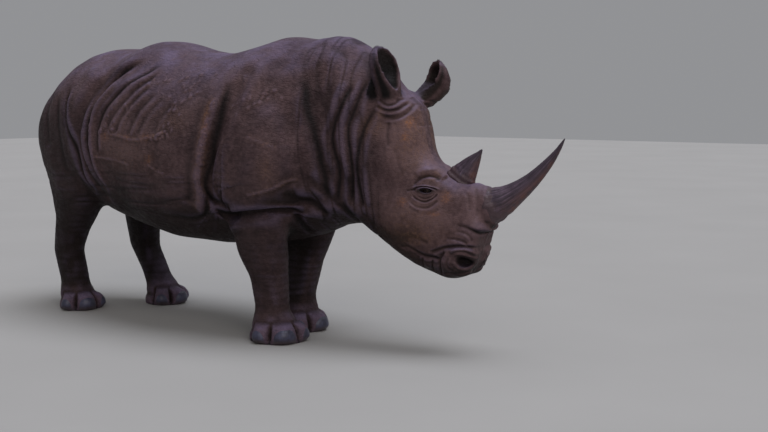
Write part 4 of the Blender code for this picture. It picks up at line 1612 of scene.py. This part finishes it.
@dataclass(frozen=True)
class HornStuff:
    """Horn: pressed fibres, dark, reddish where worn, rough at the base.

    Args:
        dark: Colour between the fibres.
        light: Colour of the fibres.
        worn: Colour where it is rubbed.
        crust: Colour of the rough base.
    """

    dark: Colour = tone(52, 42, 52)
    light: Colour = tone(98, 80, 96)
    worn: Colour = tone(104, 68, 58)
    crust: Colour = tone(74, 57, 62)

    def make(self, groups: Groups) -> Material:
        """Builds the material.

        Args:
            groups: The shared node groups.

        Returns:
            The material.
        """
        material, sheet, shader, spot = new_material("horn", {"Specular IOR Level": 0.4})
        grain = sheet.add("Attribute", attribute_name="grain").outputs["Vector"]
        fibres = sheet.add("Group", {"Spot": grain, "Across": 120.0, "Along": 5.0},
                           node_tree=groups.fibres)
        patch = sheet.noise(spot, 16.0, 4.0, 0.6)
        share = sheet.times(fibres.outputs["Share"], sheet.span(patch, 0.3, 0.7, 0.35, 1.0))
        colour = sheet.blend(share, self.dark, self.light)
        worn = sheet.times(sheet.attribute("worn"), sheet.span(patch, 0.35, 0.65, 0.15, 0.75))
        colour = sheet.blend(worn, colour, self.worn)
        edge = sheet.span(sheet.noise(spot, 26.0, 4.0, 0.7), 0.3, 0.7, -0.35, 0.35)
        ragged = sheet.math("ADD", sheet.attribute("root"), edge)
        colour = sheet.blend(sheet.span(ragged, 0.40, 0.80), colour, self.crust)
        rough = sheet.span(patch, 0.3, 0.7, 0.42, 0.62)
        sheet.feed(shader, {"Base Color": colour, "Roughness": rough})
        bump(sheet, shader, (sheet.noise(spot, 30.0, 4.0), 0.004),
             (fibres.outputs["Height"], 0.0025))
        return material


@dataclass(frozen=True)
class NailStuff:
    """Toenail: smooth dark horn with fine upright ridges and dried soil.

    Args:
        dark: Colour of its darker clouds.
        light: Colour of its lighter clouds.
        soil: Colour of the soil along its lower edge.
    """

    dark: Colour = tone(40, 38, 54)
    light: Colour = tone(68, 68, 92)
    soil: Colour = tone(78, 64, 62)

    def make(self, groups: Groups) -> Material:
        """Builds the material.

        Args:
            groups: The shared node groups.

        Returns:
            The material.
        """
        material, sheet, shader, spot = new_material("toenail", {"Specular IOR Level": 0.5})
        fibres = sheet.add("Group", {"Spot": spot, "Across": 130.0, "Along": 9.0},
                           node_tree=groups.fibres)
        mottle = sheet.add("Group", {"Spot": spot, "Scale": 18.0, "First": self.dark,
                                     "Second": self.light}, node_tree=groups.mottle)
        height = sheet.add("SeparateXYZ", {0: spot}).outputs[2]
        low = sheet.span(height, 0.045, 0.005)
        colour = sheet.blend(sheet.times(low, 0.7), mottle.outputs["Colour"], self.soil)
        rough = sheet.span(fibres.outputs["Height"], 0.3, 1.1, 0.32, 0.55)
        sheet.feed(shader, {"Base Color": colour, "Roughness": rough})
        bump(sheet, shader, (fibres.outputs["Height"], 0.0015))
        return material


@dataclass(frozen=True)
class EyeStuff:
    """Wet eye: dark brown iris, black oval pupil and brownish white.

    Args:
        iris: Colour of the iris.
        flecks: Colour of its streaks.
        white: Colour round it.
        pupil: Colour of the pupil.
    """

    iris: Colour = tone(30, 20, 16)
    flecks: Colour = tone(46, 30, 20)
    white: Colour = tone(20, 15, 14)
    pupil: Colour = tone(6, 5, 6)

    def make(self) -> Material:
        """Builds the material.

        Returns:
            The material.
        """
        material, sheet, shader, spot = new_material(
            "eye", {"Roughness": 0.14, "Specular IOR Level": 0.12})
        streaks = sheet.span(sheet.noise(spot, 900.0, 2.0), 0.3, 0.7)
        iris = sheet.blend(streaks, self.iris, self.flecks)
        colour = sheet.blend(sheet.attribute("iris"), self.white, iris)
        colour = sheet.blend(sheet.attribute("pupil"), colour, self.pupil)
        sheet.feed(shader, {"Base Color": colour})
        return material


@dataclass(frozen=True)
class HairStuff:
    """Stiff dark hair, paler towards some tips.

    Args:
        root: Colour of most of it.
        tip: Colour of the paler tips.
    """

    root: Colour = tone(26, 20, 20)
    tip: Colour = tone(70, 54, 46)

    def make(self, groups: Groups) -> Material:
        """Builds the material.

        Args:
            groups: The shared node groups.

        Returns:
            The material.
        """
        material, sheet, shader, spot = new_material(
            "tail_hair", {"Specular IOR Level": 0.4})
        fibres = sheet.add("Group", {"Spot": spot, "Across": 400.0, "Along": 30.0},
                           node_tree=groups.fibres)
        share = sheet.times(fibres.outputs["Share"], sheet.attribute("along"))
        colour = sheet.blend(share, self.root, self.tip)
        rough = sheet.span(fibres.outputs["Height"], 0.3, 1.1, 0.40, 0.60)
        sheet.feed(shader, {"Base Color": colour, "Roughness": rough})
        return material


# ------------------------------------------------------------- horns, eyes, nails
@dataclass
class Horn:
    """One horn over its CAD solid.

    Args:
        name: Its CAD node.
        base: Where its root lies in the straight frame.
        tip: Where its tip lies in the straight frame.
        voxel: Size of the cells that it is remeshed with.
        ridges: How deep the furrows between its fibres are.
        collar: Length of its rough base.
    """

    name: str
    base: Spot
    tip: Spot
    voxel: float = 0.0034
    ridges: float = 0.0022
    collar: float = 0.07

    def build(self, node: Piece, frame: StraightFrame, finish: Material) -> Piece:
        """Makes the horn.

        Args:
            node: Its CAD node.
            frame: The straight frame.
            finish: Its material.

        Returns:
            The piece.
        """
        horn = copies_joined(f"{self.name}_grown", [node])
        apply_modifier(horn, "REMESH", mode="VOXEL", voxel_size=self.voxel, adaptivity=0.0)
        mesh = horn.data
        base = np.array(frame.place(self.base[0], 0.0, self.base[1]))
        tip = np.array(frame.place(self.tip[0], 0.0, self.tip[1]))
        length = np.linalg.norm(tip - base)
        axis = (tip - base) / length
        share = ((points_of(mesh) - base) @ axis) / length
        relax(mesh, np.where(share > 0.9, 0.3, 1.0), 26)
        points, normals = points_of(mesh), normals_of(mesh)
        straight = frame.straighten(points)
        share = np.clip(((points - base) @ axis) / length, 0.0, 1.0)
        spin = np.arctan2(straight[:, 1], straight[:, 2] - self.middle(straight, share))
        round_it = np.stack([np.cos(spin), np.sin(spin), share * 2.0], axis=1)
        fur = noise(round_it, (11.0, 11.0, 2.0), SEED + 21)
        fur += 0.5 * noise(round_it, (26.0, 26.0, 5.0), SEED + 22)
        root = slope(share, self.collar / length * 2.2, 0.02)
        rough = noise(points, 34.0, SEED + 23) + 0.6 * noise(points, 80.0, SEED + 24)
        steps = np.sin(share * 46.0 + 2.0 * noise(points, 9.0, SEED + 25)) * root
        rise = self.ridges * fur * (0.6 - 0.3 * root) + 0.0034 * rough * root + 0.0022 * steps
        flare = slope(np.cos(spin), -0.7, 0.1)
        rise += (0.0060 * flare - 0.004 + 0.0035 * noise(points, 24.0, SEED + 26)) * root
        rise *= slope(share, 1.0, 0.93) * 0.8 + 0.2
        set_points(mesh, points + normals * rise[:, None])
        store(mesh, "root", root)
        under = slope(np.cos(spin), 0.1, -0.8) * slope(share, 0.04, 0.2)
        store(mesh, "worn", under * slope(share, 1.0, 0.75))
        layer = mesh.attributes.new("grain", "FLOAT_VECTOR", "POINT")
        grain = np.stack([np.cos(spin) * 0.08, np.sin(spin) * 0.08, share * 0.6], axis=1)
        layer.data.foreach_set("vector", grain.astype(np.float32).ravel())
        hand_over(horn, "horn", finish, self.name)
        return horn

    def middle(self, straight: Array, share: Array) -> Array:
        """Finds the height of the horn's middle line.

        Args:
            straight: Rows of u, v, z.
            share: How far along the horn each lies.

        Returns:
            The middle's height beside each row.
        """
        levels = np.linspace(0.0, 1.0, 24)
        heights = []
        for level in levels:
            near = np.abs(share - level) < 0.04
            z = straight[near, 2] if near.any() else straight[:, 2]
            heights.append((z.min() + z.max()) / 2)
        return np.interp(share, levels, np.array(heights))


@dataclass
class Eye:
    """One eyeball behind the lids.

    Args:
        side: Which eye.
        radius: Its radius.
        behind: How far its front lies behind the lids' edge.
        ahead: How far it looks forwards.
        iris: The radius of its iris.
        pupil: Half the height of its pupil.
        oval: How much longer the pupil is than high.
        bulge: How far its front stands out.
    """

    side: Side
    radius: float = 0.030
    behind: float = 0.007
    ahead: float = 0.002
    iris: float = 0.0160
    pupil: float = 0.0058
    oval: float = 1.5
    bulge: float = 0.0012

    def build(self, skin: Piece, frame: StraightFrame, finish: Material) -> Piece:
        """Makes the eyeball where the finished skin leaves room for it.

        Args:
            skin: The finished skin.
            frame: The straight frame.
            finish: Its material.

        Returns:
            The piece.
        """
        name = f"eye_{self.side.name.lower()}"
        straight = frame.straighten(points_of(skin.data))
        around = EYE.reach(straight)
        edge = (around > 1.15) & (around < 1.5)
        edge &= np.sign(straight[:, 1]) == self.side.value
        out = float(np.median(np.abs(straight[edge, 1]))) - self.behind - self.radius
        centre = frame.place(EYE.u, self.side.value * out, EYE.z)
        deselect_all()
        bpy.ops.mesh.primitive_uv_sphere_add(segments=48, ring_count=32, radius=self.radius,
                                             location=centre)
        eye = bpy.context.view_layer.objects.active
        eye.name = f"{name}_ball"
        bpy.ops.object.transform_apply(location=True, rotation=True, scale=True)
        points = points_of(eye.data)
        local = frame.straighten(points)
        local[:, 1] = np.abs(local[:, 1]) - out
        du, dz = local[:, 0] - EYE.u - self.ahead, local[:, 2] - EYE.z
        outer = local[:, 1] > 0
        far, oval = np.hypot(du, dz), np.hypot(du / self.oval, dz)
        swell = self.bulge * slope(far, 0.017, 0.008) * outer
        set_points(eye.data, points + normals_of(eye.data) * swell[:, None])
        store(eye.data, "iris", slope(far, self.iris, 0.0145) * outer)
        store(eye.data, "pupil", slope(oval, self.pupil, 0.0048) * outer)
        hand_over(eye, "eye", finish, name)
        return eye


@dataclass
class Toenails:
    """The three nails of every foot, laid over the toes of the finished skin.

    Args:
        spread: Half of what each takes up round the foot, in degrees.
        tall: Their heights.
        proud: How far they stand out of the toe.
        thick: How deep they are set.
        rough: How uneven they are.
        floor: The lowest that they reach.
    """

    spread: tuple[float, ...] = (20.0, 30.0, 20.0)
    tall: tuple[float, ...] = (0.086, 0.102, 0.086)
    proud: float = 0.007
    thick: float = 0.014
    rough: float = 0.0008
    floor: float = 0.0015

    def nail(self, skin: Piece, foot: Foot, number: int, node: str) -> Piece:
        """Wraps one nail round its toe.

        Args:
            skin: The finished skin.
            foot: The foot.
            number: Which of the three.
            node: The CAD node that it replaces.

        Returns:
            The piece.
        """
        deselect_all()
        bpy.ops.mesh.primitive_grid_add(x_subdivisions=14, y_subdivisions=10, size=2.0)
        nail = bpy.context.view_layer.objects.active
        nail.name = nail.data.name = f"{node}_grown"
        grid = points_of(nail.data)
        moved = np.empty_like(grid)
        for row, (s, t, _) in enumerate(grid):
            up = (t + 1.0) / 2.0
            angle = math.radians(foot.turn + TOES[number][0] + s * self.spread[number]
                                 * (1.0 - 0.28 * up * up))
            height = 0.003 + up * self.tall[number] * (1.0 - 0.34 * s * s)
            ahead = Vector((math.cos(angle), math.sin(angle), 0.0))
            start = Vector((foot.x, foot.y, max(height, 0.012)))
            hit, spot, _, _ = skin.ray_cast(start, ahead, distance=2.0 * foot.reach)
            away = (spot - start).length if hit else foot.reach
            dome = (1.0 - abs(s) ** 3.0) * (1.0 - up**4) * (1.0 - 0.35 * (1.0 - up) ** 3)
            away += self.proud * (1.6 * dome - 0.45)
            moved[row] = (foot.x + ahead.x * away, foot.y + ahead.y * away, height)
        moved += self.rough * noise(moved, 60.0, SEED + 31)[:, None]
        moved[:, 2] = np.maximum(moved[:, 2], 0.002)
        set_points(nail.data, moved)
        relax(nail.data, np.full(len(moved), 0.5), 2)
        apply_modifier(nail, "SOLIDIFY", thickness=self.thick, offset=-1.0)
        edit_all(nail, bpy.ops.mesh.normals_make_consistent, inside=False)
        apply_modifier(nail, "SUBSURF", levels=1, render_levels=1)
        points = points_of(nail.data)
        points[:, 2] = np.maximum(points[:, 2], self.floor)
        set_points(nail.data, points)
        return nail

    def build(self, skin: Piece, finish: Material) -> None:
        """Makes the twelve nails.

        Args:
            skin: The finished skin.
            finish: Their material.
        """
        for leg in LEGS:
            foot = Foot.from_node(leg)
            for number in range(len(TOES)):
                node = f"{leg}_nail_{number + 1}"
                hand_over(self.nail(skin, foot, number, node), "toenail", finish, node)


# --------------------------------------------------------------------------- hair
@dataclass
class Strand:
    """One tuft.

    Args:
        root: Where it grows.
        way: Which way it goes.
        length: How long it is.
        thick: How thick it is at its root.
        droop: How far its tip hangs down.
    """

    root: Vector
    way: Vector
    length: float
    thick: float
    droop: float = 0.0


class Hair:
    """Turns strands into solid tapered tufts with their patch on the skin's map."""

    PATCH = 0.003               # size of a tuft's patch
    SIDES = 3                   # of a tuft
    STEPS = 5                   # along it

    def __init__(self, skin: Piece, finish: Material) -> None:
        """Reads where every spot of the skin lies on the skin's own map.

        Args:
            skin: The finished skin.
            finish: The hair's material.
        """
        self.finish = finish
        mesh = skin.data
        self.points = points_of(mesh)
        corner = read(mesh.loops, "vertex_index", 1, np.int32).ravel()
        self.spots = np.zeros((len(self.points), 2))
        self.spots[corner] = read(mesh.uv_layers[UNWRAP].data, "uv", 2)
        self.tree = KDTree(len(self.points))
        for number, point in enumerate(self.points):
            self.tree.insert(point, number)
        self.tree.balance()

    def grow(self, name: str, strands: list[Strand], *stands_for: str) -> None:
        """Builds one piece of hair.

        Args:
            name: The piece's name.
            strands: Its tufts.
            stands_for: The CAD nodes that it replaces.
        """
        points, faces, along, patches = [], [], [], []
        for strand in strands:
            way = strand.way.normalized()
            across = way.orthogonal().normalized()
            other = way.cross(across)
            first = len(points)
            spot = self.spots[self.tree.find(strand.root)[1]]
            for step in range(self.STEPS):
                share = step / self.STEPS
                middle = strand.root + way * strand.length * share
                middle = middle + Vector((0, 0, -1)) * strand.droop * share * share
                size = strand.thick * (1.0 - share) ** 0.7
                for side in range(self.SIDES):
                    angle = 2 * math.pi * side / self.SIDES
                    points.append(middle + (across * math.cos(angle)
                                            + other * math.sin(angle)) * size)
                    along.append(share)
            tip = strand.root + way * strand.length + Vector((0, 0, -1)) * strand.droop
            points.append(tip)
            along.append(1.0)
            last = len(points) - 1
            for step in range(self.STEPS - 1):
                for side in range(self.SIDES):
                    a = first + step * self.SIDES + side
                    b = first + step * self.SIDES + (side + 1) % self.SIDES
                    faces.append((a, b, b + self.SIDES, a + self.SIDES))
            top = first + (self.STEPS - 1) * self.SIDES
            for side in range(self.SIDES):
                faces.append((top + side, top + (side + 1) % self.SIDES, last))
            faces.append(tuple(first + side for side in reversed(range(self.SIDES))))
            patches += [spot] * (last - first + 1)
        mesh = bpy.data.meshes.new(name)
        mesh.from_pydata([tuple(p) for p in points], [], faces)
        layer = mesh.uv_layers.new(name=UNWRAP)
        corner = read(mesh.loops, "vertex_index", 1, np.int32).ravel()
        share = np.array(along)
        spread = np.stack([share, (np.arange(len(share)) % self.SIDES) / self.SIDES], axis=1)
        places = np.array(patches) + self.PATCH * (spread - 0.5)
        layer.data.foreach_set("uv", places[corner].astype(np.float32).ravel())
        store(mesh, "along", share)
        hair = bpy.data.objects.new(name, mesh)
        bpy.context.collection.objects.link(hair)
        hand_over(hair, "tail_hair", self.finish, *stands_for)


@dataclass
class TailBrush:
    """The flat brush of stiff hair at the tail's end.

    Args:
        count: How many tufts it has.
        thick: How thick they are.
    """

    count: int = 420
    thick: float = 0.0026

    def strands(self, skin: Piece) -> list[Strand]:
        """Lays out the tufts from the last hand's breadth of the tail down.

        Args:
            skin: The finished skin.

        Returns:
            The tufts.
        """
        chance = np.random.default_rng(SEED)
        low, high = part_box("tail_brush")
        points, normals = points_of(skin.data), normals_of(skin.data)
        near = (points[:, 0] < high.x + 0.02) & (points[:, 2] < high.z + 0.12)
        near &= (points[:, 2] > high.z - 0.03) & (np.abs(points[:, 1]) < 0.06)
        spots = np.nonzero(near)[0]
        if not len(spots):
            raise ValueError("the tail's end was not found")
        made = []
        for number in chance.choice(spots, self.count):
            root = Vector(points[number]) - Vector(normals[number]) * 0.002
            bottom = low.z + 0.10 * chance.random() ** 2
            target = Vector((
                (low.x + high.x) / 2 + (high.x - low.x) * 0.42 * (chance.random() - 0.5),
                (high.y - low.y) * 0.9 * (chance.random() - 0.5), bottom))
            way = target - root
            made.append(Strand(root, way, way.length, self.thick * (0.7 + 0.6 * chance.random())))
        return made


@dataclass
class EarFringe:
    """The short hair on an ear's edge.

    Args:
        ear: The ear.
        count: How many tufts it has.
        long: How long they are.
        thick: How thick they are.
    """

    ear: Ear
    count: int = 620
    long: float = 0.008
    thick: float = 0.0009

    def strands(self, skin: Piece, frame: StraightFrame) -> list[Strand]:
        """Lays out the tufts along the upper half of the rim.

        Args:
            skin: The finished skin.
            frame: The straight frame.

        Returns:
            The tufts.
        """
        chance = np.random.default_rng(SEED + 1)
        points, normals = points_of(skin.data), normals_of(skin.data)
        inside = inside_box(points, self.ear.node, EAR_MARGIN)
        tip, base = frame.place(*self.ear.tip), frame.place(*self.ear.root)
        axis = np.array((tip - base).normalized())
        share = ((points - np.array(base)) @ axis) / (tip - base).length
        inside &= share > 0.42
        spots = np.nonzero(inside)[0]
        local = points[spots]
        middle = np.array([local[np.abs(share[spots] - s) < 0.06].mean(axis=0)
                           for s in np.clip(share[spots], 0.45, 0.93)])
        away = local - middle
        away -= np.outer(away @ axis, axis)
        reach = np.linalg.norm(away, axis=1)
        widest = np.array([reach[np.abs(share[spots] - s) < 0.05].max()
                           for s in share[spots]])
        rim = spots[(reach > 0.86 * widest) | (share[spots] > 0.96)]
        made = []
        for number in chance.choice(rim, self.count):
            out = Vector(normals[number])
            way = out * 0.65 + Vector(axis) * (0.90 + 0.4 * chance.random())
            way += Vector(chance.normal(0.0, 0.16, 3))
            long = self.long * (0.45 + 0.75 * chance.random())
            root = Vector(points[number]) - out * 0.0015
            made.append(Strand(root, way, long, self.thick, 0.12 * long))
        return made


@dataclass
class Lashes:
    """The short lashes of the upper lid.

    Args:
        count: How many each eye has.
        long: How long they are.
        thick: How thick they are.
    """

    count: int = 46
    long: float = 0.017
    thick: float = 0.0006

    def strands(self, skin: Piece, frame: StraightFrame) -> list[Strand]:
        """Lays out the lashes over both eyes.

        Args:
            skin: The finished skin.
            frame: The straight frame.

        Returns:
            The tufts.
        """
        chance = np.random.default_rng(SEED + 2)
        straight = frame.straighten(points_of(skin.data))
        far = EYE.reach(straight)
        upper = straight[:, 2] > EYE.z + 0.004
        made = []
        for side in Side:
            edge = (far > 1.05) & (far < 1.25) & upper & (np.sign(straight[:, 1]) == side.value)
            for number in chance.choice(np.nonzero(edge)[0], self.count):
                u, v, z = straight[number]
                lean = (u - EYE.u) / EYE.length
                start = frame.place(u, v - side.value * 0.001, z - 0.001)
                end = frame.place(u + 0.35 * lean * self.long, v + side.value * 0.9 * self.long,
                                  z - 0.25 * self.long)
                way = end - start + Vector(chance.normal(0.0, 0.002, 3))
                made.append(Strand(start, way, self.long * (0.6 + 0.5 * chance.random()),
                                   self.thick, 0.15 * self.long))
        return made


# ------------------------------------------------------------------------- studio
@dataclass(frozen=True)
class Sun:
    """A wide, soft, distant light.

    Args:
        name: Its name.
        way: The way that its light goes.
        power: Its strength.
        colour: Its colour.
        spread: How wide it is seen, in degrees.
    """

    name: str
    way: Point
    power: float
    colour: Point
    spread: float = 40.0


@dataclass
class Studio:
    """Plain pale floor, soft lights and the camera.

    Args:
        camera_at: Where the camera stands.
        azimuth: How far it is turned round the animal.
        pitch: How far it looks down.
        lens: Its focal length in millimetres.
        film: The width of its film in millimetres.
        sees: How far it sees.
        suns: The lights.
        sky: Colour of the light from all round.
        glow: Its strength.
        floor_size: Length and width of the floor.
        floor_dark: Colour of its darker clouds.
        floor_light: Colour of its lighter clouds.
    """

    camera_at: Point = (4.99, -5.23, 1.40)
    azimuth: float = math.radians(38.0)
    pitch: float = math.radians(5.66)
    lens: float = 56.25
    film: float = 36.0
    sees: float = 100.0
    suns: tuple[Sun, ...] = (
        Sun("overhead", (-0.25, -0.10, -1.0), 2.2, (0.90, 0.93, 1.0)),
        Sun("side", (-1.0, 0.8, -0.75), 0.7, (1.0, 0.93, 0.88)),
    )
    sky: Colour = (0.95, 0.96, 1.0, 1.0)
    glow: float = 0.30
    floor_size: float = 60.0
    floor_dark: Colour = tone(158, 156, 154)
    floor_light: Colour = tone(168, 166, 164)

    def floor(self) -> None:
        """Adds the floor."""
        deselect_all()
        bpy.ops.mesh.primitive_plane_add(size=self.floor_size, location=(0.0, 0.0, -0.001))
        floor = bpy.context.view_layer.objects.active
        floor.name = "floor"
        material, sheet, shader, spot = new_material("floor", {"Roughness": 0.9})
        cloud = sheet.noise(spot, 0.6)
        colour = sheet.blend(cloud, self.floor_dark, self.floor_light)
        sheet.feed(shader, {"Base Color": colour})
        floor.data.materials.append(material)

    def place(self, name: str, data: bpy.types.ID, spot: Point, way: Point) -> Piece:
        """Puts a light or a camera in the scene.

        Args:
            name: Its name.
            data: The light or the camera.
            spot: Where it stands.
            way: The way that it looks.

        Returns:
            The object.
        """
        placed = bpy.data.objects.new(name, data)
        placed.location = spot
        placed.rotation_mode = "QUATERNION"
        placed.rotation_quaternion = Vector(way).to_track_quat("-Z", "Y")
        bpy.context.collection.objects.link(placed)
        return placed

    def light(self) -> None:
        """Adds the lights and the light from all round."""
        for sun in self.suns:
            data = bpy.data.lights.new(sun.name, "SUN")
            data.energy, data.angle, data.color = sun.power, math.radians(sun.spread), sun.colour
            self.place(sun.name, data, (0.0, 0.0, 6.0), sun.way)
        world = bpy.data.worlds.new("studio")
        world.use_nodes = True
        back = world.node_tree.nodes["Background"]
        back.inputs["Color"].default_value = self.sky
        back.inputs["Strength"].default_value = self.glow
        bpy.context.scene.world = world
        bpy.context.scene.view_settings.view_transform = "Standard"

    def camera(self) -> None:
        """Adds the camera."""
        data = bpy.data.cameras.new("camera")
        data.lens, data.sensor_width, data.clip_end = self.lens, self.film, self.sees
        ahead = (-math.sin(self.azimuth) * math.cos(self.pitch),
                 math.cos(self.azimuth) * math.cos(self.pitch), -math.sin(self.pitch))
        bpy.context.scene.camera = self.place("camera", data, self.camera_at, ahead)

    def build(self) -> None:
        """Adds the floor, the lights, the surroundings and the camera."""
        self.floor()
        self.light()
        self.camera()


def main() -> None:
    """Builds the animal piece by piece."""
    logging.basicConfig(level=logging.INFO, format="%(name)s: %(message)s")
    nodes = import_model()["nodes"]
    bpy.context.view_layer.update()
    straight = StraightFrame(offset=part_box("barrel")[1].x + 0.330)
    deselect_all()
    Studio().build()
    groups = Groups()
    skin = Skin(nodes, straight).build(Hide().make(groups))
    horn_stuff = HornStuff().make(groups)
    for horn in (Horn("horn_front", (1.235, 0.820), (1.660, 1.190)),
                 Horn("horn_rear", (1.070, 0.945), (1.198, 1.124), collar=0.05)):
        horn.build(nodes[horn.name], straight, horn_stuff)
    eye_stuff = EyeStuff().make()
    for side in Side:
        Eye(side).build(skin, straight, eye_stuff)
    Toenails().build(skin, NailStuff().make(groups))
    hair = Hair(skin, HairStuff().make(groups))
    hair.grow("tail_hair", TailBrush().strands(skin), "tail_brush")
    fringes = [EarFringe(ear).strands(skin, straight) for ear in EARS]
    hair.grow("ear_hair", sum(fringes, []))
    hair.grow("lashes", Lashes().strands(skin, straight))
    keep_sizes()


def keep_sizes() -> None:
    """Updates the view layer.
    """
    bpy.context.view_layer.update()


if __name__ == "__main__":
    main()
